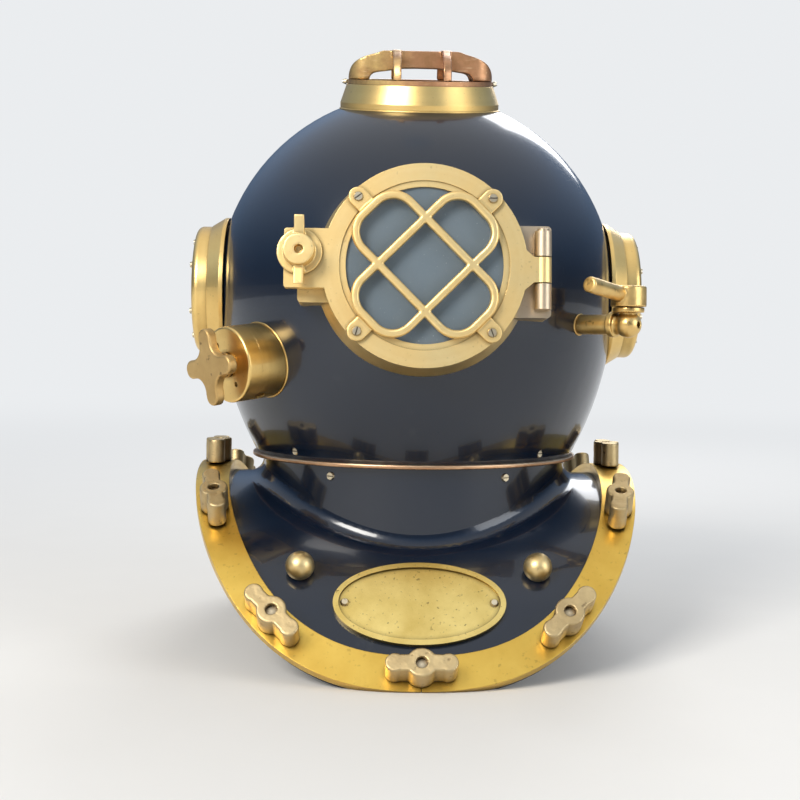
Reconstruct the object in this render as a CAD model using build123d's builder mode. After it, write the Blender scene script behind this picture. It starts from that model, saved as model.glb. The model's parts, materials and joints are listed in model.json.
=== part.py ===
from build123d import *
from math import cos, hypot, radians, sin
import os

os.makedirs("parts", exist_ok=True)

# Helmet as a whole: Z points up, the window in front faces -Y, and the ground is at Z 0
bonnet_radius = 165.0
bonnet_rise = 136.0
neck_radius = 130.5
copper_wall = 3.0
cut_overrun = 5.0
still_gap = 0.3
thread_gap = 0.1

# Saddle form of the breastplate, and the line along which its rim runs
saddle_radius = 211.0
saddle_drop = 15.0
skirt_angle = 52.0
rim_level = 6.5
rim_half_width = 163.0
rim_half_run = 244.0
rim_power = 2.4
collar_radius = 125.0
crease_fillet = 13.0

# Rim, brail and the studs that clamp them
strap_width = 26.0
rim_thickness = 4.0
brail_thickness = 4.0
brail_joint_gap = 0.6
shell_edge_inset = 4.0
strap_tool_depth = 40.0
strap_section_turns = (0, 8, 16, 24, 33, 42, 51, 60, 68, 76, 83, 90)
nut_turns = (0, 21, 54.5, 90)
stud_radius = 4.0
stud_head_radius = 7.5
stud_head_height = 2.0
stud_recess = 4.0
wing_nut_height = 19.0
wing_hub_radius = 10.5
wing_tip_radius = 6.8
wing_tip_reach = 18.2
wing_web_width = 12.0
wing_edge_round = 1.2

# Nameplate and ball studs on the front of the breastplate
plate_run = 188.0
plate_half_width = 62.0
plate_half_height = 33.0
plate_thickness = 2.4
plate_border_width = 4.0
plate_border_height = 1.6
rivet_reach = 53.5
rivet_head_radius = 3.2
rivet_shank_radius = 1.6
rivet_head_height = 1.8
rivet_head_taper = 30.0
ball_radius = 10.5
ball_lift = 7.0
ball_run = 161.0
ball_reach = 86.5
ball_shank_radius = 4.0

# Neck joint: the bonnet turns an eighth of a turn in the breastplate's ring
flange_radius = 134.0
flange_thickness = 3.2
joint_gap = 0.4
neck_ring_height = 20.0
spigot_radius = 116.0
spigot_bore_radius = 108.0
lower_ring_bore = 120.0
lower_ring_depth = 24.0
lower_ring_floor = 2.5
lug_height = 7.0
lug_step = 0.6
lug_arc = 40.0
lug_count = 4
gasket_thickness = 2.5
upper_screw_height = 9.5
lower_screw_drop = 8.0
upper_screw_turns = (45, 135, 225, 315)
lower_screw_turns = (32, 148, 212, 328)
neck_screw_head_radius = 3.3
neck_screw_head_height = 1.6
neck_screw_shank_radius = 2.0
neck_screw_length = 9.0
slot_width = 0.9
slot_depth = 0.8
slot_turn = 37.0
screw_head_taper = 20.0

# Front window: a seat on the bonnet and a door hinged on the seat
front_rise_angle = 4.0
front_face = 171.0
front_bore = 54.0
front_seat_radius = 71.5
front_seat_foot_radius = 78.0
front_seat_foot = 149.0
seat_gasket_inner = 57.0
seat_gasket_outer = 66.0
seat_gasket_thickness = 3.0
seat_gasket_proud = 0.7
door_gap = 1.0
door_thickness = 11.0
door_radius = 72.5
door_opening = 55.7
door_land_radius = 60.2
door_land_drop = 1.0
door_glass_radius = 60.0
door_glass_thickness = 6.5
door_lip = 3.0
hinge_reach = 84.0
hinge_drop = 2.0
knuckle_radius = 6.0
knuckle_length = 18.0
knuckle_gap = 0.8
knuckle_web = 10.0
hinge_bore_gap = 0.06
hinge_pin_radius = 2.5
hinge_pin_head_radius = 4.2
hinge_pin_head_height = 2.2
hinge_arm_root = 20.0
hinge_bracket_inner = 50.0
hinge_bracket_outer = 91.0
hinge_bracket_half_height = 33.0
bracket_top_drop = 2.0
bracket_bottom = 120.0
bracket_round = 3.0
lug_rise = 4.0
lug_outer = 99.0
lug_half_height = 21.0
lug_inner = 60.0
lug_corner_round = 2.0
latch_bracket_outer = 90.0
latch_bracket_low = 26.0
latch_bracket_high = 20.0

# Wing screw that holds the door shut
screw_reach = 88.0
screw_rise = 8.0
screw_tip_radius = 3.0
screw_tip_end_radius = 1.8
screw_tip_length = 11.0
screw_tip_taper = 7.0
screw_hole_gap = 0.25
bracket_boss_radius = 8.5
bracket_hole_radius = 4.2
bracket_hole_depth = 15.0
screw_flange_radius = 16.0
screw_flange_height = 3.0
screw_hub_radius = 10.8
screw_hub_height = 17.0
screw_hub_hole_radius = 3.0
screw_hub_hole_depth = 6.0
screw_wing_reach = 24.5
screw_wing_width = 7.0
screw_wing_height = 11.0
screw_wing_lift = 4.0
screw_wing_dip_share = 0.8

# Guard over the front window
guard_bar = 5.8
guard_half_spacing = 23.5
guard_half_length = 55.5
guard_corner = 17.0
guard_lift = 1.5
guard_height = 5.5
guard_edge_round = 1.2
ear_reach = 67.0
ear_radius = 7.0
ear_root_reach = 60.0
ear_thickness = 3.6
guard_screw_head_radius = 3.4
guard_screw_head_height = 1.4
guard_screw_shank_radius = 2.0
guard_screw_length = 6.0
ear_turns = (45, 135, 225, 315)

# Side windows: seat, screwed bezel, glass, gasket and a guard of crossed bars
side_neck_radius = 54.0
side_flange_radius = 60.0
side_flange_back = 155.5
side_flange_edge = 3.0
side_flange_front_radius = 53.5
side_flange_front = 169.0
side_bore = 40.0
side_pocket_radius = 46.0
side_pocket_floor = 163.5
side_gasket_thickness = 1.5
side_bezel_radius = 52.5
side_bezel_front = 181.5
side_bezel_round = 5.0
side_bezel_opening = 39.0
side_bezel_recess_radius = 45.5
side_bezel_recess = 5.5
side_guard_half_spacing = 18.5
side_guard_bar = 5.6
side_guard_thickness = 5.4
side_guard_end_gap = 0.5
side_screw_head_radius = 3.0
side_screw_head_height = 2.4
side_screw_shank_radius = 1.8
side_screw_length = 1.6
side_screw_radius = 42.2

# Top window, tipped forward, with an arched guard that doubles as a handle
top_lean = 12.0
top_foot_radius = 64.5
top_foot = 157.0
top_neck_radius = 59.5
top_face = 171.5
top_bore = 46.0
top_pocket_radius = 52.0
top_pocket_floor = 163.5
top_gasket_thickness = 1.5
top_bezel_radius = 59.0
top_bezel_thickness = 3.7
top_bezel_opening = 46.5
arch_half_width = 58.0
arch_shoulder = 49.2
arch_shoulder_height = 16.4
arch_crown = 35.2
arch_crown_height = 21.4
arch_height = 23.2
arch_leg_width = 17.0
arch_bar_depth = 14.0
arch_strap_thickness = 3.5
arch_strap_proud = 0.7
arch_strap_width = 6.5
arch_bar_width = 6.5
arch_half_spacing = 19.5
arch_corner = 15.0
top_screw_head_radius = 2.6
top_screw_head_height = 3.2
top_screw_shank_radius = 1.5
top_screw_length = 8.0

# Exhaust valve, low on the wearer's right
exhaust_turn = -49.0
exhaust_rise = -6.5
exhaust_height = 97.5
exhaust_radius = 28.5
exhaust_body_end = 180.0
exhaust_cap_end = 192.0
exhaust_cap_round = 1.8
exhaust_chamber_radius = 22.0
exhaust_seat_radius = 15.0
exhaust_seat_top = 169.0
exhaust_outlet_radius = 4.0
exhaust_outlet_turns = (240, 270, 300)
exhaust_cap_bore_depth = 8.0
exhaust_cap_mark_radius = 1.9
exhaust_cap_mark_turns = (125, 305)
exhaust_cap_mark_reach = 17.5
exhaust_cap_mark_depth = 1.5
spindle_radius = 5.0
spindle_gap = 0.07
spring_cup_radius = 13.0
spring_cup_bore = 10.5
spring_cup_height = 8.0
handwheel_hub_radius = 7.5
handwheel_hub_height = 10.0
handwheel_shoulder_radius = 9.5
handwheel_shoulder_height = 3.0
handwheel_span = 57.0
handwheel_arm_width = 14.0
handwheel_thickness = 7.0
handwheel_web_round = 11.0
handwheel_edge_round = 1.4
handwheel_turn = 6.0
valve_disc_radius = 18.0
valve_disc_thickness = 2.4
valve_stem_radius = 3.0
valve_guide_gap = 0.07
valve_guide_radius = 7.0
valve_guide_height = 6.0
valve_web_width = 4.0
chin_button_radius = 14.0
chin_button_thickness = 5.0
chin_button_reach = 132.0
chin_button_round = 2.0

# Spitcock: a small water cock with a bar lever, low on the wearer's left
spitcock_turn = 48.0
spitcock_height = 109.4
spitcock_pipe_radius = 7.5
spitcock_pipe_end = 196.0
spitcock_collar_radius = 9.6
spitcock_collar_length = 5.0
spitcock_axis_reach = 206.0
spitcock_ball_radius = 9.8
spitcock_bore_radius = 2.5
spitcock_neck_radius = 6.5
spitcock_washer_radius = 11.7
spitcock_washer_base = 9.0
spitcock_washer_thickness = 3.8
spitcock_cap_gap = 0.4
spitcock_cap_radius = 13.2
spitcock_cap_height = 15.5
spitcock_cap_round = 1.5
spitcock_plug_radius = 4.0
spitcock_plug_gap = 0.07
spitcock_plug_depth = 6.0
lever_bar_radius = 5.8
lever_reach = 51.0
lever_turn = -45.0
lever_rise = 8.0
lever_round = 1.0

# Goosenecks for air and telephone on the back of the bonnet
gooseneck_turn = 145.0
gooseneck_height = 88.0
gooseneck_flange_radius = 21.0
gooseneck_flange_face = 165.0
gooseneck_tube_radius = 12.0
gooseneck_bore_radius = 7.5
gooseneck_bend_start = 167.0
gooseneck_bend_radius = 22.0
gooseneck_bend_angle = 65.0
gooseneck_collar_radius = 15.5
gooseneck_collar_length = 9.0
gooseneck_thread_radius = 12.7
gooseneck_thread_length = 16.0


# How far the saddle has fallen at a distance along its slope
def saddle_fall(run):
    angle = min(run / saddle_radius, radians(skirt_angle))
    past = max(run - saddle_radius * radians(skirt_angle), 0)
    return saddle_radius * (1 - cos(angle)) + past * sin(angle)


# Reach of the saddle, and the height that stands its rim on the ground in front and behind
skirt_reach = max(rim_half_run - saddle_radius * radians(skirt_angle), 0) + strap_width
saddle_half_length = rim_half_width + strap_width
neck_height = rim_level + saddle_fall(rim_half_run) + saddle_drop

# Derived levels
bonnet_foot = neck_height + flange_thickness
dome_height = neck_height + bonnet_rise
saddle_centre = neck_height - saddle_drop - saddle_radius
brail_base = rim_thickness
brail_top = rim_thickness + brail_thickness
nut_seat = brail_top + still_gap
hole_gap = thread_gap
neck_screw_hole = neck_screw_shank_radius + hole_gap
lug_meet = neck_height - joint_gap - flange_thickness - lug_height
shelf_top = neck_height - lower_ring_depth


# Frames and profiles that several pieces share
def radial_plane(turn, rise, height):
    level = cos(radians(rise))
    outward = Vector(sin(radians(turn)) * level, -cos(radians(turn)) * level, sin(radians(rise)))
    sideways = Vector(cos(radians(turn)), sin(radians(turn)), 0)
    return Plane(origin=(0, 0, height), x_dir=sideways, z_dir=outward)


def section_plane(port):
    return Plane(origin=port.origin, x_dir=port.x_dir, z_dir=port.x_dir.cross(port.z_dir))


def port_axis(port):
    return Axis(port.origin, port.z_dir)


def turned_ring(port, points):
    with BuildSketch(section_plane(port)) as section:
        with BuildLine():
            Polyline(*points, close=True)
        make_face()
    return section.sketch


def disc(plane, radius):
    with BuildSketch(plane) as face:
        Circle(radius)
    return face.sketch


def bonnet_section(inset):
    radius = bonnet_radius - inset
    foot_radius = neck_radius - inset
    with BuildSketch(Plane.XZ) as section:
        with BuildLine():
            CenterArc((0, dome_height), radius, 0, 90)
            TangentArc((radius, dome_height), (foot_radius, bonnet_foot), tangent=(0, -1))
            Polyline((foot_radius, bonnet_foot), (0, bonnet_foot), (0, dome_height + radius))
        make_face()
    return section.sketch


def saddle_section(lift):
    radius = saddle_radius + lift
    knee = (radius * sin(radians(skirt_angle)), saddle_centre + radius * cos(radians(skirt_angle)))
    tip = (knee[0] + skirt_reach * cos(radians(skirt_angle)),
           knee[1] - skirt_reach * sin(radians(skirt_angle)))
    base = tip[1] - cut_overrun
    with BuildSketch(Plane.YZ) as section:
        with BuildLine():
            ThreePointArc((-knee[0], knee[1]), (0, saddle_centre + radius), knee)
            Polyline(knee, tip, (tip[0], base), (-tip[0], base), (-tip[0], tip[1]), (-knee[0], knee[1]))
        make_face()
    return section.sketch


def saddle_point(run):
    knee_run = saddle_radius * radians(skirt_angle)
    angle = min(run / saddle_radius, radians(skirt_angle))
    past = max(run - knee_run, 0)
    place_y = -saddle_radius * sin(angle) - past * cos(angle)
    place_z = saddle_centre + saddle_radius * cos(angle) - past * sin(angle)
    along = Vector(0, -cos(angle), -sin(angle))
    normal = Vector(0, -sin(angle), cos(angle))
    return place_y, place_z, along, normal


def saddle_plane(across, run, lift):
    place_y, place_z, along, normal = saddle_point(run)
    origin = Vector(across, place_y, place_z) + normal * lift
    return Plane(origin=origin, x_dir=(1, 0, 0), z_dir=normal)


def rim_place(turn):
    share_x = abs(cos(radians(turn))) ** (2 / rim_power)
    share_run = abs(sin(radians(turn))) ** (2 / rim_power)
    slope_x = share_x ** (rim_power - 1) / rim_half_width
    slope_run = share_run ** (rim_power - 1) / rim_half_run
    size = hypot(slope_x, slope_run)
    return rim_half_width * share_x, rim_half_run * share_run, slope_x / size, slope_run / size


def strap_plane(turn):
    across, run, out_x, out_run = rim_place(turn)
    place_y, place_z, along, normal = saddle_point(run)
    outward = Vector(1, 0, 0) * out_x + along * out_run
    return Plane(origin=(across, place_y, place_z), x_dir=outward, z_dir=outward.cross(normal))


def nut_plane(turn, side, end, lift):
    across, run, out_x, out_run = rim_place(turn)
    place_y, place_z, along, normal = saddle_point(run)
    outward = Vector(1, 0, 0) * out_x + along * out_run
    path = outward.cross(normal)
    origin = Vector(across, place_y, place_z) + normal * lift
    flip = Vector(side, end, 1)
    return Plane(
        origin=(origin.X * flip.X, origin.Y * flip.Y, origin.Z),
        x_dir=(path.X * flip.X, path.Y * flip.Y, path.Z),
        z_dir=(normal.X * flip.X, normal.Y * flip.Y, normal.Z),
    )


# Where the twelve studs stand: side is +1 to the right, end is +1 to the front
nut_places = []
for turn in nut_turns:
    for side in (1, -1):
        for end in (1, -1):
            doubled = (turn == nut_turns[0] and end < 0) or (turn == nut_turns[-1] and side < 0)
            if not doubled:
                nut_places.append((turn, side, end))

front = radial_plane(0, front_rise_angle, dome_height)
top = radial_plane(0, 90 - top_lean, dome_height)
exhaust = radial_plane(exhaust_turn, exhaust_rise, neck_height + exhaust_height)
spitcock = radial_plane(spitcock_turn, 0, neck_height + spitcock_height)
sides = {"right": radial_plane(90, 0, dome_height), "left": radial_plane(-90, 0, dome_height)}
goosenecks = {"air": radial_plane(gooseneck_turn, 0, neck_height + gooseneck_height),
              "telephone": radial_plane(-gooseneck_turn, 0, neck_height + gooseneck_height)}
collar_screw_planes = [radial_plane(turn, 0, neck_height - lower_screw_drop) for turn in lower_screw_turns]
neck_screw_planes = [radial_plane(turn, 0, neck_height + upper_screw_height) for turn in upper_screw_turns]

# Outer form of the bonnet as a solid, used to shape what stands on it
with BuildPart() as bonnet_form:
    revolve(bonnet_section(0), axis=Axis.Z)

# One quarter of the strip that the rim and the brail follow, from the shoulder to the front
with BuildPart() as strap_tool:
    for turn in strap_section_turns:
        with BuildSketch(strap_plane(turn)):
            Rectangle(strap_width, strap_tool_depth)
    loft()

# Outline of the breastplate's sheet, seen from above
with BuildSketch() as sheet_outline:
    with BuildLine():
        quarter = []
        for turn in strap_section_turns:
            across, run, out_x, out_run = rim_place(turn)
            edge = strap_width / 2 - shell_edge_inset
            edge_y = saddle_point(run + out_run * edge)[0]
            quarter.append((across + out_x * edge, edge_y))
        front_right = quarter[:-1]
        front_left = [(-x, y) for x, y in reversed(quarter[1:])]
        back_left = [(-x, -y) for x, y in quarter[:-1]]
        back_right = [(x, -y) for x, y in reversed(quarter[1:])]
        Spline(*front_right, *front_left, *back_left, *back_right, periodic=True)
    make_face()

# Breastplate shell: saddle, collar and the soft crease between them
collar_top = neck_height - joint_gap
with BuildPart() as shell_inside:
    extrude(saddle_section(-copper_wall), amount=saddle_half_length, both=True)
    with BuildSketch(Plane.XY):
        Circle(collar_radius - copper_wall)
    extrude(amount=neck_height + cut_overrun)
    inner_crease = [e for e in shell_inside.edges().filter_by(GeomType.CIRCLE, reverse=True)
                    if abs(hypot((e @ 0.5).X, (e @ 0.5).Y) - collar_radius + copper_wall) < thread_gap]
    fillet(inner_crease, radius=crease_fillet + copper_wall)

with BuildPart() as breastplate_shell:
    extrude(saddle_section(0), amount=saddle_half_length, both=True)
    with BuildSketch(Plane.XY.offset(-cut_overrun)):
        add(sheet_outline.sketch)
    extrude(amount=neck_height, mode=Mode.INTERSECT)
    with BuildSketch(Plane.XY):
        Circle(collar_radius)
    extrude(amount=collar_top)
    outer_crease = [e for e in breastplate_shell.edges().filter_by(GeomType.CIRCLE, reverse=True)
                    if abs(hypot((e @ 0.5).X, (e @ 0.5).Y) - collar_radius) < thread_gap]
    fillet(outer_crease, radius=crease_fillet)
    add(shell_inside.part, mode=Mode.SUBTRACT)
    drill_base = -strap_tool_depth / 2
    for turn, side, end in nut_places:
        extrude(disc(nut_plane(turn, side, end, drill_base), stud_radius + hole_gap), amount=strap_tool_depth,
                mode=Mode.SUBTRACT)
    for side in (1, -1):
        ball_hole = disc(saddle_plane(side * ball_reach, ball_run, drill_base), ball_shank_radius + hole_gap)
        extrude(ball_hole, amount=strap_tool_depth, mode=Mode.SUBTRACT)
        rivet_seat = saddle_plane(side * rivet_reach, plate_run, drill_base)
        rivet_hole = disc(rivet_seat, rivet_shank_radius + hole_gap)
        extrude(rivet_hole, amount=strap_tool_depth, mode=Mode.SUBTRACT)
    for seat in collar_screw_planes:
        screw_hole = disc(seat.offset(spigot_bore_radius), neck_screw_hole)
        extrude(screw_hole, amount=collar_radius, mode=Mode.SUBTRACT)
    split(bisect_by=Plane.XY, keep=Keep.TOP)
breastplate_shell.part.label = "breastplate_shell"
export_step(breastplate_shell.part, "parts/breastplate_shell.step")

# Rim under the brail, dressed flat where the helmet stands on the ground
with BuildPart() as breastplate_rim:
    extrude(saddle_section(rim_thickness), amount=saddle_half_length, both=True)
    extrude(saddle_section(0), amount=saddle_half_length, both=True, mode=Mode.SUBTRACT)
    add(strap_tool.part, mode=Mode.INTERSECT)
    mirror(about=Plane.YZ)
    mirror(about=Plane.XZ)
    split(bisect_by=Plane.XY, keep=Keep.TOP)
    for turn, side, end in nut_places:
        with BuildSketch(nut_plane(turn, side, end, -rim_thickness)):
            Circle(stud_radius + hole_gap)
        extrude(amount=rim_thickness * 3, mode=Mode.SUBTRACT)
breastplate_rim.part.label = "breastplate_rim"
export_step(breastplate_rim.part, "parts/breastplate_rim.step")

# Brail: four straps that the wing nuts press on the rim
with BuildPart() as brail_front_right:
    extrude(saddle_section(brail_top), amount=saddle_half_length, both=True)
    extrude(saddle_section(brail_base), amount=saddle_half_length, both=True, mode=Mode.SUBTRACT)
    add(strap_tool.part, mode=Mode.INTERSECT)
    split(bisect_by=Plane.XY, keep=Keep.TOP)
    split(bisect_by=Plane.YZ.offset(brail_joint_gap / 2), keep=Keep.TOP)
    split(bisect_by=Plane.XZ.offset(brail_joint_gap / 2), keep=Keep.TOP)
    for turn in nut_turns:
        with BuildSketch(nut_plane(turn, 1, 1, 0)):
            Circle(stud_radius + hole_gap)
        extrude(amount=brail_top * 2, mode=Mode.SUBTRACT)
brail_front_right.part.label = "brail_front_right"
export_step(brail_front_right.part, "parts/brail_front_right.step")

with BuildPart() as brail_front_left:
    mirror(brail_front_right.part, about=Plane.YZ)
brail_front_left.part.label = "brail_front_left"
export_step(brail_front_left.part, "parts/brail_front_left.step")

with BuildPart() as brail_back_right:
    mirror(brail_front_right.part, about=Plane.XZ)
brail_back_right.part.label = "brail_back_right"
export_step(brail_back_right.part, "parts/brail_back_right.step")

with BuildPart() as brail_back_left:
    mirror(brail_front_left.part, about=Plane.XZ)
brail_back_left.part.label = "brail_back_left"
export_step(brail_back_left.part, "parts/brail_back_left.step")

# Studs: their heads are under the shell and their threaded ends stand in the wing nuts
stud_head_top = -copper_wall - still_gap
stud_end = nut_seat + wing_nut_height - stud_recess
with BuildPart() as brail_studs:
    for turn, side, end in nut_places:
        with BuildSketch(nut_plane(turn, side, end, stud_head_top - stud_head_height)):
            Circle(stud_head_radius)
        extrude(amount=stud_head_height)
        with BuildSketch(nut_plane(turn, side, end, stud_head_top - stud_head_height)):
            Circle(stud_radius)
        extrude(amount=stud_head_height - stud_head_top + stud_end)
    split(bisect_by=Plane.XY, keep=Keep.TOP)
brail_studs.part.label = "brail_studs"
export_step(brail_studs.part, "parts/brail_studs.step")

# Twelve wing nuts, cast with a round hub and two round tips of one height
with BuildPart() as wing_nut_form:
    with BuildSketch():
        Circle(wing_hub_radius)
        Rectangle(wing_tip_reach * 2, wing_web_width)
        with Locations((wing_tip_reach, 0), (-wing_tip_reach, 0)):
            Circle(wing_tip_radius)
    extrude(amount=wing_nut_height)
    fillet(wing_nut_form.faces().sort_by(Axis.Z)[-1].edges(), radius=wing_edge_round)
    with BuildSketch():
        Circle(stud_radius + hole_gap)
    extrude(amount=wing_nut_height, mode=Mode.SUBTRACT)

for number, (turn, side, end) in enumerate(nut_places, start=1):
    with BuildPart() as wing_nut:
        add(nut_plane(turn, side, end, nut_seat).location * wing_nut_form.part)
    wing_nut.part.label = f"wing_nut_{number:02d}"
    export_step(wing_nut.part, f"parts/wing_nut_{number:02d}.step")

# Ball studs on the front of the breastplate
with BuildPart() as ball_studs:
    for side in (1, -1):
        with Locations(saddle_plane(side * ball_reach, ball_run, ball_lift).location):
            Sphere(ball_radius)
    extrude(saddle_section(0), amount=saddle_half_length, both=True, mode=Mode.SUBTRACT)
    for side in (1, -1):
        with BuildSketch(saddle_plane(side * ball_reach, ball_run, stud_head_top - stud_head_height)):
            Circle(ball_shank_radius)
        extrude(amount=ball_lift + stud_head_height - stud_head_top)
ball_studs.part.label = "ball_studs"
export_step(ball_studs.part, "parts/ball_studs.step")

# Bare oval nameplate with a raised border, bent to the breastplate, and its two rivets
plate_reach = plate_half_width + cut_overrun
with BuildPart() as plate_hollow:
    with BuildSketch(saddle_plane(0, plate_run, -strap_tool_depth / 2)):
        Ellipse(plate_half_width - plate_border_width, plate_half_height - plate_border_width)
    extrude(amount=strap_tool_depth)
    extrude(saddle_section(plate_thickness), amount=plate_reach, both=True, mode=Mode.SUBTRACT)

with BuildPart() as nameplate:
    with BuildSketch(saddle_plane(0, plate_run, -strap_tool_depth / 2)):
        Ellipse(plate_half_width, plate_half_height)
    extrude(amount=strap_tool_depth)
    extrude(saddle_section(plate_thickness + plate_border_height), amount=plate_reach, both=True,
            mode=Mode.INTERSECT)
    extrude(saddle_section(0), amount=plate_reach, both=True, mode=Mode.SUBTRACT)
    add(plate_hollow.part, mode=Mode.SUBTRACT)
    for side in (1, -1):
        with BuildSketch(saddle_plane(side * rivet_reach, plate_run, -cut_overrun)):
            Circle(rivet_shank_radius + hole_gap)
        extrude(amount=cut_overrun * 3, mode=Mode.SUBTRACT)
nameplate.part.label = "nameplate"
export_step(nameplate.part, "parts/nameplate.step")

with BuildPart() as nameplate_rivets:
    for side in (1, -1):
        with BuildSketch(saddle_plane(side * rivet_reach, plate_run, plate_thickness)):
            Circle(rivet_head_radius)
        extrude(amount=rivet_head_height, taper=rivet_head_taper)
        with BuildSketch(saddle_plane(side * rivet_reach, plate_run, -copper_wall - rivet_head_height)):
            Circle(rivet_shank_radius)
        extrude(amount=copper_wall + rivet_head_height + plate_thickness)
nameplate_rivets.part.label = "nameplate_rivets"
export_step(nameplate_rivets.part, "parts/nameplate_rivets.step")

# Lower neck ring, inside the collar, with inward lugs and a shelf for the gasket
ring_fit_radius = collar_radius - copper_wall - thread_gap


def lug_face(height, inner, outer):
    with BuildSketch(Plane.XY.offset(height)) as section:
        with BuildLine():
            inner_arc = CenterArc((0, 0), inner, -lug_arc / 2, lug_arc)
            outer_arc = CenterArc((0, 0), outer, -lug_arc / 2, lug_arc)
            Line(inner_arc @ 0, outer_arc @ 0)
            Line(inner_arc @ 1, outer_arc @ 1)
        make_face()
    return section.sketch


with BuildPart() as breastplate_neck_ring:
    with BuildSketch(Plane.XY.offset(shelf_top - lower_ring_floor)):
        Circle(ring_fit_radius)
        Circle(spigot_bore_radius, mode=Mode.SUBTRACT)
    extrude(amount=lower_ring_depth + lower_ring_floor - joint_gap)
    with BuildSketch(Plane.XY.offset(shelf_top)):
        Circle(lower_ring_bore)
    extrude(amount=lower_ring_depth, mode=Mode.SUBTRACT)
    with PolarLocations(0, lug_count):
        add(extrude(lug_face(lug_meet, spigot_radius + joint_gap, lower_ring_bore + thread_gap),
                    amount=lug_height, mode=Mode.PRIVATE))
    for seat in collar_screw_planes:
        screw_hole = disc(seat.offset(spigot_bore_radius), neck_screw_hole)
        extrude(screw_hole, amount=collar_radius, mode=Mode.SUBTRACT)
breastplate_neck_ring.part.label = "breastplate_neck_ring"
export_step(breastplate_neck_ring.part, "parts/breastplate_neck_ring.step")

# Leather gasket on the shelf, under the spigot of the bonnet
with BuildPart() as neck_gasket:
    with BuildSketch(Plane.XY.offset(shelf_top)):
        Circle(lower_ring_bore - still_gap)
        Circle(spigot_bore_radius, mode=Mode.SUBTRACT)
    extrude(amount=gasket_thickness)
neck_gasket.part.label = "neck_gasket"
export_step(neck_gasket.part, "parts/neck_gasket.step")


# Slotted screws whose heads stand on a plane, at places given in that plane
def slotted_screws(seat, places, head_radius, head_height, shank_radius, length):
    with BuildPart() as screws:
        with BuildSketch(seat):
            with Locations(*places):
                Circle(head_radius)
        extrude(amount=head_height, taper=screw_head_taper)
        with BuildSketch(seat.offset(head_height - slot_depth)):
            for number, place in enumerate(places):
                with Locations(place):
                    Rectangle(head_radius * 2 + cut_overrun, slot_width, rotation=number * slot_turn)
        extrude(amount=slot_depth, mode=Mode.SUBTRACT)
        with BuildSketch(seat.offset(-length)):
            with Locations(*places):
                Circle(shank_radius)
        extrude(amount=length)
    return screws.part


with BuildPart() as collar_screws:
    for seat in collar_screw_planes:
        add(slotted_screws(seat.offset(collar_radius), [(0, 0)], neck_screw_head_radius,
                           neck_screw_head_height, neck_screw_shank_radius, copper_wall * 2))
collar_screws.part.label = "collar_screws"
export_step(collar_screws.part, "parts/collar_screws.step")

# Upper neck ring of the bonnet: flange, spigot and outward lugs
spigot_foot = shelf_top + gasket_thickness + still_gap
with BuildPart() as bonnet_neck_ring:
    with BuildSketch(Plane.XY.offset(neck_height)):
        Circle(flange_radius)
    extrude(amount=flange_thickness)
    fillet(bonnet_neck_ring.edges().filter_by(GeomType.CIRCLE), radius=flange_thickness / 3)
    with BuildSketch(Plane.XY.offset(bonnet_foot)):
        Circle(neck_radius - copper_wall - thread_gap)
    extrude(amount=neck_ring_height)
    with BuildSketch(Plane.XY.offset(spigot_foot)):
        Circle(spigot_radius)
    extrude(amount=neck_height - spigot_foot)
    with PolarLocations(0, lug_count):
        add(extrude(lug_face(lug_meet - lug_step - lug_height, spigot_radius - thread_gap,
                             lower_ring_bore - joint_gap), amount=lug_height, mode=Mode.PRIVATE))
    with BuildSketch(Plane.XY.offset(spigot_foot)):
        Circle(spigot_bore_radius)
    extrude(amount=bonnet_foot + neck_ring_height - spigot_foot, mode=Mode.SUBTRACT)
    for seat in neck_screw_planes:
        screw_hole = disc(seat.offset(spigot_bore_radius), neck_screw_hole)
        extrude(screw_hole, amount=neck_radius, mode=Mode.SUBTRACT)
bonnet_neck_ring.part.label = "bonnet_neck_ring"
export_step(bonnet_neck_ring.part, "parts/bonnet_neck_ring.step")

# Screws of the upper ring, their heads let into the bonnet's neck
neck_screw_seat = neck_radius + copper_wall / 2
with BuildPart() as neck_screws:
    for seat in neck_screw_planes:
        add(slotted_screws(seat.offset(neck_screw_seat), [(0, 0)], neck_screw_head_radius,
                           neck_screw_head_height, neck_screw_shank_radius, neck_screw_length))
neck_screws.part.label = "neck_screws"
export_step(neck_screws.part, "parts/neck_screws.step")

# Bonnet shell, with a hole under every fitting
with BuildPart() as bonnet_shell:
    add(bonnet_form.part)
    revolve(bonnet_section(copper_wall), axis=Axis.Z, mode=Mode.SUBTRACT)
    for port, hole in ((front, front_bore), (top, top_bore), (sides["right"], side_bore),
                       (sides["left"], side_bore), (exhaust, exhaust_seat_radius),
                       (spitcock, spitcock_bore_radius)):
        with BuildSketch(port.offset(bonnet_radius / 2)):
            Circle(hole)
        extrude(amount=bonnet_radius, mode=Mode.SUBTRACT)
    for port in goosenecks.values():
        extrude(disc(port.offset(bonnet_radius / 2), gooseneck_bore_radius), amount=bonnet_radius,
                mode=Mode.SUBTRACT)
    for seat in neck_screw_planes:
        screw_hole = disc(seat.offset(spigot_bore_radius), neck_screw_hole)
        extrude(screw_hole, amount=bonnet_radius, mode=Mode.SUBTRACT)
        head_hole = disc(seat.offset(neck_screw_seat), neck_screw_head_radius + hole_gap)
        extrude(head_hole, amount=bonnet_radius, mode=Mode.SUBTRACT)
bonnet_shell.part.label = "bonnet_shell"
export_step(bonnet_shell.part, "parts/bonnet_shell.step")

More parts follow.
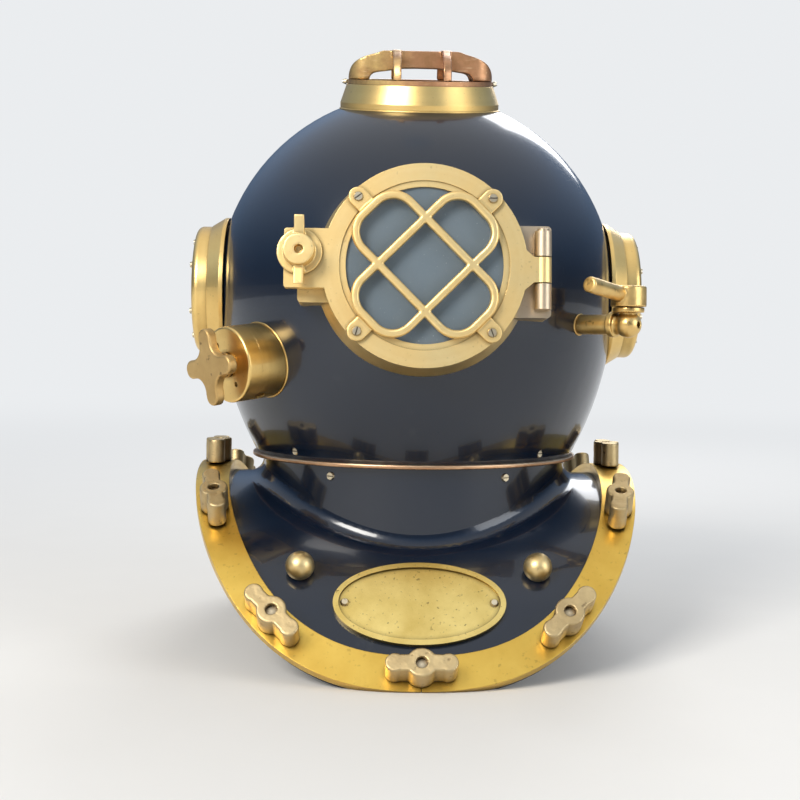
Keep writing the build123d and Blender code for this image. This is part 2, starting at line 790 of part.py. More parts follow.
# Goosenecks: elbows that leave the back of the bonnet and bend down to a threaded mouth
for name, port in goosenecks.items():
    side_plane = Plane(origin=port.origin, x_dir=port.z_dir, z_dir=port.x_dir)
    with BuildLine(side_plane) as elbow:
        straight = Line((gooseneck_flange_face, 0), (gooseneck_bend_start, 0))
        bend = JernArc(straight @ 1, straight % 1, gooseneck_bend_radius, gooseneck_bend_angle)
        tail = Line(bend @ 1, (bend @ 1) + (bend % 1) * (gooseneck_collar_length + gooseneck_thread_length))
    collar_plane = Plane(tail @ 0, z_dir=tail % 0)
    with BuildPart() as gooseneck:
        extrude(disc(port.offset(bonnet_radius / 2), gooseneck_flange_radius),
                amount=gooseneck_flange_face - bonnet_radius / 2)
        add(bonnet_form.part, mode=Mode.SUBTRACT)
        sweep(disc(port.offset(gooseneck_flange_face), gooseneck_tube_radius), path=elbow.line)
        extrude(disc(collar_plane, gooseneck_collar_radius), amount=gooseneck_collar_length)
        extrude(disc(collar_plane.offset(gooseneck_collar_length), gooseneck_thread_radius),
                amount=gooseneck_thread_length)
        sweep(disc(port.offset(gooseneck_flange_face), gooseneck_bore_radius), path=elbow.line,
              mode=Mode.SUBTRACT)
        extrude(disc(port.offset(bonnet_radius / 2), gooseneck_bore_radius),
                amount=gooseneck_flange_face - bonnet_radius / 2, mode=Mode.SUBTRACT)
    gooseneck.part.label = f"{name}_gooseneck"
    export_step(gooseneck.part, f"parts/{name}_gooseneck.step")

# Seat of the front window: a ring on the bonnet, with hinge knuckles and the latch bracket
knuckle_pitch = knuckle_length + knuckle_gap
hinge_depth = front_face + door_gap + knuckle_radius
hinge_plane = Plane(origin=front.origin + front.x_dir * hinge_reach + front.z_dir * hinge_depth
                    - front.y_dir * hinge_drop, x_dir=front.x_dir, z_dir=front.y_dir)
bracket_face = front_face - bracket_top_drop
bracket_height = bracket_face - bracket_bottom
with BuildPart() as front_seat:
    revolve(turned_ring(front, [(front_bore, bracket_bottom), (front_seat_foot_radius, bracket_bottom),
                                (front_seat_foot_radius, front_seat_foot), (front_seat_radius, front_face),
                                (front_bore, front_face)]), axis=port_axis(front))
    hinge_bracket_middle = (hinge_bracket_inner + hinge_bracket_outer) / 2
    hinge_bracket_width = hinge_bracket_outer - hinge_bracket_inner
    with BuildSketch(front.offset(bracket_bottom)):
        with Locations((hinge_bracket_middle, -hinge_drop)):
            RectangleRounded(hinge_bracket_width, hinge_bracket_half_height * 2, bracket_round)
    extrude(amount=bracket_height)
    latch_bracket_middle = -(latch_bracket_outer + lug_inner) / 2
    latch_bracket_width = latch_bracket_outer - lug_inner
    with BuildSketch(front.offset(bracket_bottom)):
        with Locations((latch_bracket_middle, (latch_bracket_high - latch_bracket_low) / 2)):
            RectangleRounded(latch_bracket_width, latch_bracket_high + latch_bracket_low, bracket_round)
        with Locations((-screw_reach, screw_rise)):
            Circle(bracket_boss_radius)
    extrude(amount=bracket_height)
    for step in (1, -1):
        with BuildSketch(front.offset(bracket_bottom)):
            with Locations((hinge_reach, -hinge_drop + step * knuckle_pitch)):
                Rectangle(knuckle_web, knuckle_length)
        extrude(amount=hinge_depth - bracket_bottom)
        with BuildSketch(hinge_plane.offset(step * knuckle_pitch - knuckle_length / 2)):
            Circle(knuckle_radius)
        extrude(amount=knuckle_length)
    with BuildSketch(front.offset(bracket_bottom)):
        Circle(front_bore)
    extrude(amount=bonnet_radius, mode=Mode.SUBTRACT)
    add(bonnet_form.part, mode=Mode.SUBTRACT)
    revolve(turned_ring(front, [(seat_gasket_inner, front_face - seat_gasket_thickness + seat_gasket_proud),
                                (seat_gasket_outer, front_face - seat_gasket_thickness + seat_gasket_proud),
                                (seat_gasket_outer, front_face + cut_overrun),
                                (seat_gasket_inner, front_face + cut_overrun)]),
            axis=port_axis(front), mode=Mode.SUBTRACT)
    with BuildSketch(hinge_plane.offset(-knuckle_pitch * 2)):
        Circle(hinge_pin_radius + thread_gap / 4)
    extrude(amount=knuckle_pitch * 4, mode=Mode.SUBTRACT)
    with BuildSketch(front.offset(bracket_face - bracket_hole_depth)):
        with Locations((-screw_reach, screw_rise)):
            Circle(bracket_hole_radius)
    extrude(amount=bracket_hole_depth, mode=Mode.SUBTRACT)
front_seat.part.label = "front_seat"
export_step(front_seat.part, "parts/front_seat.step")

# Rubber gasket in the groove of the seat
with BuildPart() as front_gasket:
    gasket_floor = front_face - seat_gasket_thickness + seat_gasket_proud
    revolve(turned_ring(front, [(seat_gasket_inner, gasket_floor), (seat_gasket_outer, gasket_floor),
                                (seat_gasket_outer, gasket_floor + seat_gasket_thickness),
                                (seat_gasket_inner, gasket_floor + seat_gasket_thickness)]),
            axis=port_axis(front))
front_gasket.part.label = "front_gasket"
export_step(front_gasket.part, "parts/front_gasket.step")

# Hinge pin with a domed head at its upper end
pin_reach = knuckle_pitch + knuckle_length / 2
with BuildPart() as hinge_pin:
    extrude(disc(hinge_plane.offset(-pin_reach), hinge_pin_radius), amount=pin_reach * 2)
    extrude(disc(hinge_plane.offset(pin_reach), hinge_pin_head_radius), amount=hinge_pin_head_height)
    fillet(hinge_pin.faces().sort_by(Axis(hinge_plane.origin, hinge_plane.z_dir))[-1].edges(),
           radius=hinge_pin_head_height / 2)
hinge_pin.part.label = "hinge_pin"
export_step(hinge_pin.part, "parts/hinge_pin.step")

# Door ring: lug for the wing screw on the left, arm and knuckle for the hinge on the right
door_back = front_face + door_gap
door_face = door_back + door_thickness
door_plane = front.offset(door_back)
pocket_floor = door_face - door_lip
arm_root = (door_radius + door_opening) / 2
arm_neck = hinge_reach - knuckle_radius - knuckle_gap
arm_top = knuckle_length / 2 - hinge_drop
arm_bottom = -knuckle_length / 2 - hinge_drop
ear_places = [(ear_reach * cos(radians(turn)), ear_reach * sin(radians(turn))) for turn in ear_turns]
with BuildPart() as door_ring:
    with BuildSketch(door_plane):
        Circle(door_radius)
        with Locations((-(lug_outer + lug_inner) / 2, lug_rise)):
            RectangleRounded(lug_outer - lug_inner, lug_half_height * 2, lug_corner_round)
        with BuildLine():
            Polyline((arm_root, hinge_arm_root - hinge_drop), (arm_neck, arm_top), (hinge_reach, arm_top),
                     (hinge_reach, arm_bottom), (arm_neck, arm_bottom),
                     (arm_root, -hinge_arm_root - hinge_drop), close=True)
        make_face()
        Circle(door_opening, mode=Mode.SUBTRACT)
        with Locations((-screw_reach, screw_rise)):
            Circle(screw_tip_radius + screw_hole_gap, mode=Mode.SUBTRACT)
    extrude(amount=door_thickness)
    with BuildSketch(hinge_plane.offset(-knuckle_length / 2)):
        Circle(knuckle_radius)
    extrude(amount=knuckle_length)
    with BuildSketch(hinge_plane.offset(-knuckle_length)):
        Circle(hinge_pin_radius + hinge_bore_gap)
    extrude(amount=knuckle_length * 2, mode=Mode.SUBTRACT)
    with BuildSketch(door_plane):
        Circle(door_glass_radius)
    extrude(amount=pocket_floor - door_back, mode=Mode.SUBTRACT)
    with BuildSketch(front.offset(door_face - door_land_drop)):
        Circle(door_land_radius)
    extrude(amount=door_land_drop, mode=Mode.SUBTRACT)
    with BuildSketch(front.offset(door_face - guard_screw_length)):
        with Locations(*ear_places):
            Circle(guard_screw_shank_radius + hole_gap)
    extrude(amount=guard_screw_length, mode=Mode.SUBTRACT)
door_ring.part.label = "door_ring"
export_step(door_ring.part, "parts/door_ring.step")

with BuildPart() as door_glass:
    with BuildSketch(front.offset(pocket_floor - door_glass_thickness - thread_gap)):
        Circle(door_glass_radius - thread_gap)
    extrude(amount=door_glass_thickness)
    chamfer(door_glass.edges().filter_by(GeomType.CIRCLE), length=door_glass_thickness / 8)
door_glass.part.label = "door_glass"
export_step(door_glass.part, "parts/door_glass.step")

# Door guard: two crossed loops of bar, with four ears screwed to the door
with BuildSketch() as guard_loop:
    RectangleRounded(guard_half_length * 2 + guard_bar, guard_half_spacing * 2 + guard_bar,
                     guard_corner + guard_bar / 2)
    RectangleRounded(guard_half_length * 2 - guard_bar, guard_half_spacing * 2 - guard_bar,
                     guard_corner - guard_bar / 2, mode=Mode.SUBTRACT)

with BuildPart() as door_guard:
    with BuildSketch(front.offset(door_face + guard_lift)):
        for turn in ear_turns[:2]:
            add(guard_loop.sketch, rotation=turn)
    extrude(amount=guard_height)
    bar_tops = door_guard.faces().sort_by(port_axis(front))[-1]
    chamfer(bar_tops.edges(), length=guard_edge_round)
    with BuildSketch(front.offset(door_face)):
        for turn in ear_turns:
            with PolarLocations((ear_reach + ear_root_reach) / 2, 1, start_angle=turn):
                SlotCenterToCenter(ear_reach - ear_root_reach, ear_radius * 2)
        with Locations(*ear_places):
            Circle(guard_screw_shank_radius + hole_gap, mode=Mode.SUBTRACT)
    extrude(amount=ear_thickness)
door_guard.part.label = "door_guard"
export_step(door_guard.part, "parts/door_guard.step")

with BuildPart() as door_guard_screws:
    guard_screw_reach = ear_thickness + guard_screw_length / 2
    add(slotted_screws(front.offset(door_face + ear_thickness), ear_places, guard_screw_head_radius,
                       guard_screw_head_height, guard_screw_shank_radius, guard_screw_reach))
door_guard_screws.part.label = "door_guard_screws"
export_step(door_guard_screws.part, "parts/door_guard_screws.step")

# Wing screw carried by the door's lug; its tip enters the bracket of the seat
screw_spot = front.offset(door_face + still_gap).from_local_coords(Vector(-screw_reach, screw_rise, 0))
screw_seat = Plane(screw_spot, x_dir=front.x_dir, z_dir=front.z_dir)
screw_profile = [(0, 0), (screw_flange_radius, 0), (screw_flange_radius, screw_flange_height),
                 (screw_hub_radius, screw_flange_height), (screw_hub_radius, screw_hub_height),
                 (0, screw_hub_height)]
wing_plane = Plane(screw_seat.origin, x_dir=screw_seat.y_dir, z_dir=screw_seat.x_dir)
wing_root = screw_wing_reach - screw_wing_width
wing_top = screw_wing_lift + screw_wing_height
wing_dip = screw_wing_lift + screw_wing_height * screw_wing_dip_share
with BuildPart() as clamp_screw:
    revolve(turned_ring(screw_seat, screw_profile), axis=port_axis(screw_seat))
    with BuildSketch(wing_plane.offset(-screw_wing_width / 2)):
        with BuildLine():
            Polyline((-wing_root, screw_wing_lift), (wing_root, screw_wing_lift),
                     (screw_wing_reach, wing_top), (screw_hub_radius, wing_dip),
                     (-screw_hub_radius, wing_dip), (-screw_wing_reach, wing_top), close=True)
        make_face()
    extrude(amount=screw_wing_width)
    with BuildSketch(screw_seat.offset(screw_hub_height - screw_hub_hole_depth)):
        Circle(screw_hub_hole_radius)
    extrude(amount=screw_hub_hole_depth, mode=Mode.SUBTRACT)
    revolve(turned_ring(screw_seat, [(0, 0), (screw_tip_radius, 0),
                                     (screw_tip_radius, -door_thickness - screw_tip_length + screw_tip_taper),
                                     (screw_tip_end_radius, -door_thickness - screw_tip_length),
                                     (0, -door_thickness - screw_tip_length)]), axis=port_axis(screw_seat))
clamp_screw.part.label = "clamp_screw"
export_step(clamp_screw.part, "parts/clamp_screw.step")

# Side windows: a seat brazed to the bonnet, glass, a bezel and crossed bars held by screws
side_ledge = side_bezel_front - side_bezel_recess
side_glass_back = side_pocket_floor + side_gasket_thickness
side_screw_rise = (side_screw_radius ** 2 - side_guard_half_spacing ** 2) ** 0.5
side_screw_places = []
for across in (1, -1):
    for along in (1, -1):
        side_screw_places.append((across * side_guard_half_spacing, along * side_screw_rise))
        side_screw_places.append((across * side_screw_rise, along * side_guard_half_spacing))

for side, port in sides.items():
    with BuildPart() as port_seat:
        seat_profile = [(side_bore, bonnet_radius / 2), (side_neck_radius, bonnet_radius / 2),
                        (side_neck_radius, side_flange_back), (side_flange_radius, side_flange_back),
                        (side_flange_radius, side_flange_back + side_flange_edge),
                        (side_flange_front_radius, side_flange_front),
                        (side_pocket_radius, side_flange_front),
                        (side_pocket_radius, side_pocket_floor), (side_bore, side_pocket_floor)]
        revolve(turned_ring(port, seat_profile), axis=port_axis(port))
        add(bonnet_form.part, mode=Mode.SUBTRACT)
    port_seat.part.label = f"{side}_port_seat"
    export_step(port_seat.part, f"parts/{side}_port_seat.step")

    with BuildPart() as port_glass:
        extrude(disc(port.offset(side_glass_back), side_pocket_radius - thread_gap),
                amount=side_flange_front - side_glass_back)
    port_glass.part.label = f"{side}_port_glass"
    export_step(port_glass.part, f"parts/{side}_port_glass.step")

    with BuildPart() as port_bezel:
        bezel_profile = [(side_bezel_opening, side_flange_front), (side_bezel_radius, side_flange_front),
                         (side_bezel_radius, side_bezel_front), (side_bezel_recess_radius, side_bezel_front),
                         (side_bezel_recess_radius, side_ledge), (side_bezel_opening, side_ledge)]
        revolve(turned_ring(port, bezel_profile), axis=port_axis(port))
        rim_edge = port_bezel.faces().sort_by(port_axis(port))[-1].edges().sort_by(SortBy.LENGTH)[-1]
        fillet(rim_edge, radius=side_bezel_round)
        with BuildSketch(port.offset(side_ledge - side_screw_length - hole_gap)):
            with Locations(*side_screw_places):
                Circle(side_screw_shank_radius + hole_gap)
        extrude(amount=side_screw_length + hole_gap, mode=Mode.SUBTRACT)
    port_bezel.part.label = f"{side}_port_bezel"
    export_step(port_bezel.part, f"parts/{side}_port_bezel.step")

    with BuildPart() as port_guard:
        with BuildSketch(port.offset(side_ledge)):
            with Locations((0, side_guard_half_spacing), (0, -side_guard_half_spacing)):
                Rectangle(side_bezel_radius * 2, side_guard_bar)
            with Locations((side_guard_half_spacing, 0), (-side_guard_half_spacing, 0)):
                Rectangle(side_guard_bar, side_bezel_radius * 2)
            Circle(side_bezel_recess_radius - side_guard_end_gap, mode=Mode.INTERSECT)
            with Locations(*side_screw_places):
                Circle(side_screw_shank_radius + hole_gap, mode=Mode.SUBTRACT)
        extrude(amount=side_guard_thickness)
    port_guard.part.label = f"{side}_port_guard"
    export_step(port_guard.part, f"parts/{side}_port_guard.step")

with BuildPart() as side_guard_screws:
    for port in sides.values():
        add(slotted_screws(port.offset(side_ledge + side_guard_thickness), side_screw_places,
                           side_screw_head_radius, side_screw_head_height, side_screw_shank_radius,
                           side_guard_thickness + side_screw_length))
side_guard_screws.part.label = "side_guard_screws"
export_step(side_guard_screws.part, "parts/side_guard_screws.step")

# Top window: seat, glass and a thin bezel plate
top_glass_back = top_pocket_floor + top_gasket_thickness
with BuildPart() as top_seat:
    revolve(turned_ring(top, [(top_bore, bonnet_radius / 2), (top_foot_radius, bonnet_radius / 2),
                              (top_foot_radius, top_foot), (top_neck_radius, top_face),
                              (top_pocket_radius, top_face), (top_pocket_radius, top_pocket_floor),
                              (top_bore, top_pocket_floor)]), axis=port_axis(top))
    add(bonnet_form.part, mode=Mode.SUBTRACT)
top_seat.part.label = "top_seat"
export_step(top_seat.part, "parts/top_seat.step")

with BuildPart() as top_glass:
    extrude(disc(top.offset(top_glass_back), top_pocket_radius - thread_gap),
            amount=top_face - top_glass_back)
top_glass.part.label = "top_glass"
export_step(top_glass.part, "parts/top_glass.step")

top_plate_face = top_face + top_bezel_thickness
top_screw_level = top_face + top_bezel_thickness / 2
top_screw_seats = [Plane(origin=top.from_local_coords(Vector(side * top_neck_radius, 0, top_screw_level)),
                         x_dir=top.y_dir, z_dir=top.x_dir * side) for side in (1, -1)]
with BuildPart() as top_bezel:
    extrude(disc(top.offset(top_face), top_bezel_radius), amount=top_bezel_thickness)
    extrude(disc(top.offset(top_face), top_bezel_opening), amount=top_bezel_thickness, mode=Mode.SUBTRACT)
    for seat in top_screw_seats:
        extrude(disc(seat.offset(-top_screw_length), top_screw_shank_radius + hole_gap),
                amount=top_screw_length, mode=Mode.SUBTRACT)
top_bezel.part.label = "top_bezel"
export_step(top_bezel.part, "parts/top_bezel.step")

# The two screws in the plate's edge, their heads just clear of the seat below
with BuildPart() as top_guard_screws:
    for seat in top_screw_seats:
        add(slotted_screws(seat.offset(still_gap), [(0, 0)], top_screw_head_radius, top_screw_head_height,
                           top_screw_shank_radius, top_screw_length))
top_guard_screws.part.label = "top_guard_screws"
export_step(top_guard_screws.part, "parts/top_guard_screws.step")

# Gaskets under the three fixed glasses
side_gasket_rim = side_pocket_radius - thread_gap
top_gasket_rim = top_pocket_radius - thread_gap
with BuildPart() as window_gaskets:
    for port in sides.values():
        revolve(turned_ring(port, [(side_bore, side_pocket_floor), (side_gasket_rim, side_pocket_floor),
                                   (side_gasket_rim, side_glass_back), (side_bore, side_glass_back)]),
                axis=port_axis(port))
    revolve(turned_ring(top, [(top_bore, top_pocket_floor), (top_gasket_rim, top_pocket_floor),
                              (top_gasket_rim, top_glass_back), (top_bore, top_glass_back)]),
            axis=port_axis(top))
window_gaskets.part.label = "window_gaskets"
export_step(window_gaskets.part, "parts/window_gaskets.step")


# Top guard: an arched loop from side to side, and over it two thinner straps from front to back
def arch_section(inset, crown_drop):
    with BuildSketch(section_plane(top)) as section:
        with BuildLine():
            scale = (arch_height - crown_drop) / arch_height
            foot = (arch_half_width - inset, top_plate_face)
            shoulder = (arch_shoulder - inset, top_plate_face + arch_shoulder_height * scale)
            crown = (arch_crown - inset, top_plate_face + arch_crown_height * scale)
            peak = (0, top_plate_face + arch_height - crown_drop)
            Spline(foot, shoulder, crown, peak, tangents=[(0, 1), (-1, 0)])
            Polyline(peak, (0, top_plate_face), foot)
        make_face()
    return section.sketch


with BuildPart() as arch_loop:
    extrude(arch_section(0, 0), amount=arch_half_width, both=True)
    extrude(arch_section(arch_leg_width, arch_bar_depth), amount=arch_half_width, both=True,
            mode=Mode.SUBTRACT)
    mirror(about=Plane(top.origin, z_dir=top.x_dir))
    with BuildSketch(top.offset(top_plate_face)):
        RectangleRounded(arch_half_width * 2, arch_half_spacing * 2 + arch_bar_width, arch_corner)
        RectangleRounded((arch_half_width - arch_bar_width) * 2, arch_half_spacing * 2 - arch_bar_width,
                         arch_corner - arch_bar_width, mode=Mode.SUBTRACT)
    extrude(amount=arch_height, mode=Mode.INTERSECT)

with BuildPart() as top_guard:
    revolve(arch_section(-arch_strap_proud, -arch_strap_proud), axis=port_axis(top))
    revolve(arch_section(arch_strap_thickness, arch_strap_thickness), axis=port_axis(top), mode=Mode.SUBTRACT)
    with BuildSketch(top.offset(top_plate_face)):
        with Locations((arch_half_spacing, 0), (-arch_half_spacing, 0)):
            Rectangle(arch_strap_width, arch_half_width * 2)
    extrude(amount=arch_height + arch_strap_proud, mode=Mode.INTERSECT)
    add(arch_loop.part)
top_guard.part.label = "top_guard"
export_step(top_guard.part, "parts/top_guard.step")

# Exhaust valve body: a drum with outlets underneath, a seat and a guide for the valve's stem
outlet_level = (exhaust_seat_top + exhaust_body_end) / 2
with BuildPart() as exhaust_body:
    extrude(disc(exhaust.offset(bonnet_radius / 2), exhaust_radius),
            amount=exhaust_body_end - bonnet_radius / 2)
    add(bonnet_form.part, mode=Mode.SUBTRACT)
    extrude(disc(exhaust.offset(exhaust_seat_top), exhaust_chamber_radius),
            amount=exhaust_body_end - exhaust_seat_top, mode=Mode.SUBTRACT)
    extrude(disc(exhaust.offset(bonnet_radius / 2), exhaust_seat_radius),
            amount=exhaust_seat_top - bonnet_radius / 2, mode=Mode.SUBTRACT)
    with BuildSketch(exhaust.offset(exhaust_seat_top - valve_guide_height)):
        Circle(valve_guide_radius)
        Rectangle(exhaust_seat_radius * 2 + valve_web_width, valve_web_width)
        Rectangle(valve_web_width, exhaust_seat_radius * 2 + valve_web_width)
        Circle(valve_stem_radius + valve_guide_gap, mode=Mode.SUBTRACT)
    extrude(amount=valve_guide_height)
    for turn in exhaust_outlet_turns:
        outlet = exhaust.x_dir * cos(radians(turn)) + exhaust.y_dir * sin(radians(turn))
        outlet_plane = Plane(exhaust.origin + exhaust.z_dir * outlet_level, x_dir=exhaust.z_dir, z_dir=outlet)
        extrude(disc(outlet_plane.offset(valve_disc_radius), exhaust_outlet_radius), amount=exhaust_radius,
                mode=Mode.SUBTRACT)
exhaust_body.part.label = "exhaust_body"
export_step(exhaust_body.part, "parts/exhaust_body.step")

exhaust_ceiling = exhaust_body_end + exhaust_cap_bore_depth
with BuildPart() as exhaust_cap:
    extrude(disc(exhaust.offset(exhaust_body_end), exhaust_radius), amount=exhaust_cap_end - exhaust_body_end)
    fillet(exhaust_cap.faces().sort_by(port_axis(exhaust))[-1].edges(), radius=exhaust_cap_round)
    extrude(disc(exhaust.offset(exhaust_body_end), exhaust_chamber_radius), amount=exhaust_cap_bore_depth,
            mode=Mode.SUBTRACT)
    extrude(disc(exhaust.offset(exhaust_body_end), spindle_radius + spindle_gap),
            amount=exhaust_cap_end - exhaust_body_end, mode=Mode.SUBTRACT)
    with BuildSketch(exhaust.offset(exhaust_cap_end - exhaust_cap_mark_depth)):
        for turn in exhaust_cap_mark_turns:
            with PolarLocations(exhaust_cap_mark_reach, 1, start_angle=turn):
                Circle(exhaust_cap_mark_radius)
    extrude(amount=exhaust_cap_mark_depth, mode=Mode.SUBTRACT)
exhaust_cap.part.label = "exhaust_cap"
export_step(exhaust_cap.part, "parts/exhaust_cap.step")

# Star handwheel with its spindle and, inside the cap, the cup that loads the valve's spring
wheel_foot = exhaust_cap_end + still_gap
wheel_back = wheel_foot + handwheel_hub_height
cup_top = exhaust_ceiling - still_gap
with BuildPart() as exhaust_handwheel:
    with BuildSketch(exhaust.offset(wheel_back)):
        with Locations(Rotation(0, 0, handwheel_turn)):
            SlotOverall(handwheel_span, handwheel_arm_width)
        with Locations(Rotation(0, 0, handwheel_turn + 90)):
            SlotOverall(handwheel_span, handwheel_arm_width)
        corner_reach = handwheel_arm_width / 2 * 2 ** 0.5
        star_corners = [v for v in vertices() if abs(hypot(v.X, v.Y) - corner_reach) < thread_gap]
        fillet(star_corners, radius=handwheel_web_round)
    extrude(amount=handwheel_thickness)
    fillet(exhaust_handwheel.faces().sort_by(port_axis(exhaust))[-1].edges(), radius=handwheel_edge_round)
    extrude(disc(exhaust.offset(wheel_foot), handwheel_hub_radius), amount=handwheel_hub_height)
    extrude(disc(exhaust.offset(wheel_foot), handwheel_shoulder_radius), amount=handwheel_shoulder_height)
    extrude(disc(exhaust.offset(cup_top), spindle_radius), amount=wheel_foot - cup_top)
    extrude(disc(exhaust.offset(cup_top - spring_cup_height), spring_cup_radius), amount=spring_cup_height)
    extrude(disc(exhaust.offset(cup_top - spring_cup_height), spring_cup_bore),
            amount=spring_cup_height - spindle_radius / 2, mode=Mode.SUBTRACT)
exhaust_handwheel.part.label = "exhaust_handwheel"
export_step(exhaust_handwheel.part, "parts/exhaust_handwheel.step")

# Valve disc on its stem, with the button that the wearer presses with the head
disc_back = exhaust_seat_top + still_gap
with BuildPart() as exhaust_stem:
    extrude(disc(exhaust.offset(chin_button_reach), chin_button_radius), amount=chin_button_thickness)
    fillet(exhaust_stem.edges().filter_by(GeomType.CIRCLE), radius=chin_button_round)
    extrude(disc(exhaust.offset(chin_button_reach + chin_button_thickness), valve_stem_radius),
            amount=disc_back - chin_button_reach - chin_button_thickness)
    extrude(disc(exhaust.offset(disc_back), valve_disc_radius), amount=valve_disc_thickness)
exhaust_stem.part.label = "exhaust_stem"
export_step(exhaust_stem.part, "parts/exhaust_stem.step")

# Spitcock: a pipe from the bonnet into a round body, with an upright bore for the plug
cock_plane = Plane(spitcock.origin + spitcock.z_dir * spitcock_axis_reach, x_dir=spitcock.z_dir,
                   z_dir=(0, 0, 1))
cock_top = spitcock_washer_base + spitcock_washer_thickness
with BuildPart() as spitcock_body:
    extrude(disc(spitcock.offset(bonnet_radius / 2), spitcock_pipe_radius),
            amount=spitcock_axis_reach - bonnet_radius / 2)
    extrude(disc(spitcock.offset(spitcock_pipe_end - spitcock_collar_length), spitcock_collar_radius),
            amount=spitcock_collar_length)
    with Locations(cock_plane.location):
        Sphere(spitcock_ball_radius)
    extrude(disc(cock_plane, spitcock_neck_radius), amount=cock_top)
    extrude(disc(cock_plane.offset(spitcock_washer_base), spitcock_washer_radius),
            amount=spitcock_washer_thickness)
    add(bonnet_form.part, mode=Mode.SUBTRACT)
    extrude(disc(spitcock.offset(bonnet_radius / 2), spitcock_bore_radius), amount=bonnet_radius,
            mode=Mode.SUBTRACT)
    extrude(disc(cock_plane.offset(-spitcock_plug_depth), spitcock_plug_radius + spitcock_plug_gap),
            amount=spitcock_plug_depth + cock_top, mode=Mode.SUBTRACT)
spitcock_body.part.label = "spitcock_body"
export_step(spitcock_body.part, "parts/spitcock_body.step")

# Its lever: cap, plug with a cross bore, and a bar that points to the front at rest
lever_foot = cock_top + spitcock_cap_gap
lever_level = neck_height + spitcock_height + lever_foot + spitcock_cap_height / 2
lever_aim = radial_plane(lever_turn, lever_rise, 0)
lever_plane = Plane((cock_plane.origin.X, cock_plane.origin.Y, lever_level), x_dir=lever_aim.x_dir,
                    z_dir=lever_aim.z_dir)
with BuildPart() as spitcock_lever:
    extrude(disc(cock_plane.offset(lever_foot), spitcock_cap_radius), amount=spitcock_cap_height)
    fillet(spitcock_lever.faces().sort_by(Axis.Z)[-1].edges(), radius=spitcock_cap_round)
    extrude(disc(lever_plane, lever_bar_radius), amount=lever_reach)
    chamfer(spitcock_lever.faces().sort_by(port_axis(lever_plane))[-1].edges(), length=lever_round)
    extrude(disc(cock_plane.offset(spitcock_plug_gap - spitcock_plug_depth), spitcock_plug_radius),
            amount=lever_foot + spitcock_plug_depth - spitcock_plug_gap)
    cross_plane = Plane(cock_plane.origin, x_dir=cock_plane.x_dir, z_dir=cock_plane.y_dir)
    extrude(disc(cross_plane, spitcock_bore_radius), amount=spitcock_plug_radius * 2, both=True,
            mode=Mode.SUBTRACT)
spitcock_lever.part.label = "spitcock_lever"
export_step(spitcock_lever.part, "parts/spitcock_lever.step")
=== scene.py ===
import json
import math

import bmesh
import bpy
from mathutils import Matrix, Vector


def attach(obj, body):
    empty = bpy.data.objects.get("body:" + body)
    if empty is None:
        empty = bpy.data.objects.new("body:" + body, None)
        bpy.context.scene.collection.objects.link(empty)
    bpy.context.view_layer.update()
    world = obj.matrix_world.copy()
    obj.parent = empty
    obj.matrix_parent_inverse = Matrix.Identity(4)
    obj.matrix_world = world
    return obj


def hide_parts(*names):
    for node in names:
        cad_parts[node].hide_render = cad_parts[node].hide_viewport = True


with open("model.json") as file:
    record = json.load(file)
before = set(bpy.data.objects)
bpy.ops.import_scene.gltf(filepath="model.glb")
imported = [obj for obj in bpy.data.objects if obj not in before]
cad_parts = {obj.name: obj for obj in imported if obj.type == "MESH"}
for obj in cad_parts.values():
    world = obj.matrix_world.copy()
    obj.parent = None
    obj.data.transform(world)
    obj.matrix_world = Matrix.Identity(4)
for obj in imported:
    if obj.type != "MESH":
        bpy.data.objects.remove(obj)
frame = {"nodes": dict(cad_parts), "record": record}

cadNodes = frame["nodes"]
record = frame["record"]
bodyOf = {node: body for body, group in record["behaviour"]["bodies"].items() for node in group}
joints = {row["name"]: row for row in record["behaviour"]["joints"]}
wingNuts = sorted(node for node in cadNodes if node.startswith("wing_nut_"))
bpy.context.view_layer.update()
mm = 0.001
print("frame loaded:", len(cadNodes), "nodes")


# Shader maths: a Wire is one socket, and expressions on wires add their Math nodes
class Wire:
    def __init__(self, recipe, socket):
        self.recipe = recipe
        self.socket = socket

    def maths(self, operation, *others):
        return self.recipe.make("ShaderNodeMath", {"operation": operation}, [self, *others])

    def __add__(self, other):
        return self.maths("ADD", other)

    def __sub__(self, other):
        return self.maths("SUBTRACT", other)

    def __mul__(self, other):
        return self.maths("MULTIPLY", other)

    def __truediv__(self, other):
        return self.maths("DIVIDE", other)

    def __rsub__(self, other):
        return self.recipe.make("ShaderNodeMath", {"operation": "SUBTRACT"}, [other, self])

    __radd__ = __add__
    __rmul__ = __mul__

    def clamp(self):
        return self.recipe.make("ShaderNodeClamp", {}, [self])

    def above(self, edge, soft):
        return ((self - edge) / soft + 0.5).clamp()


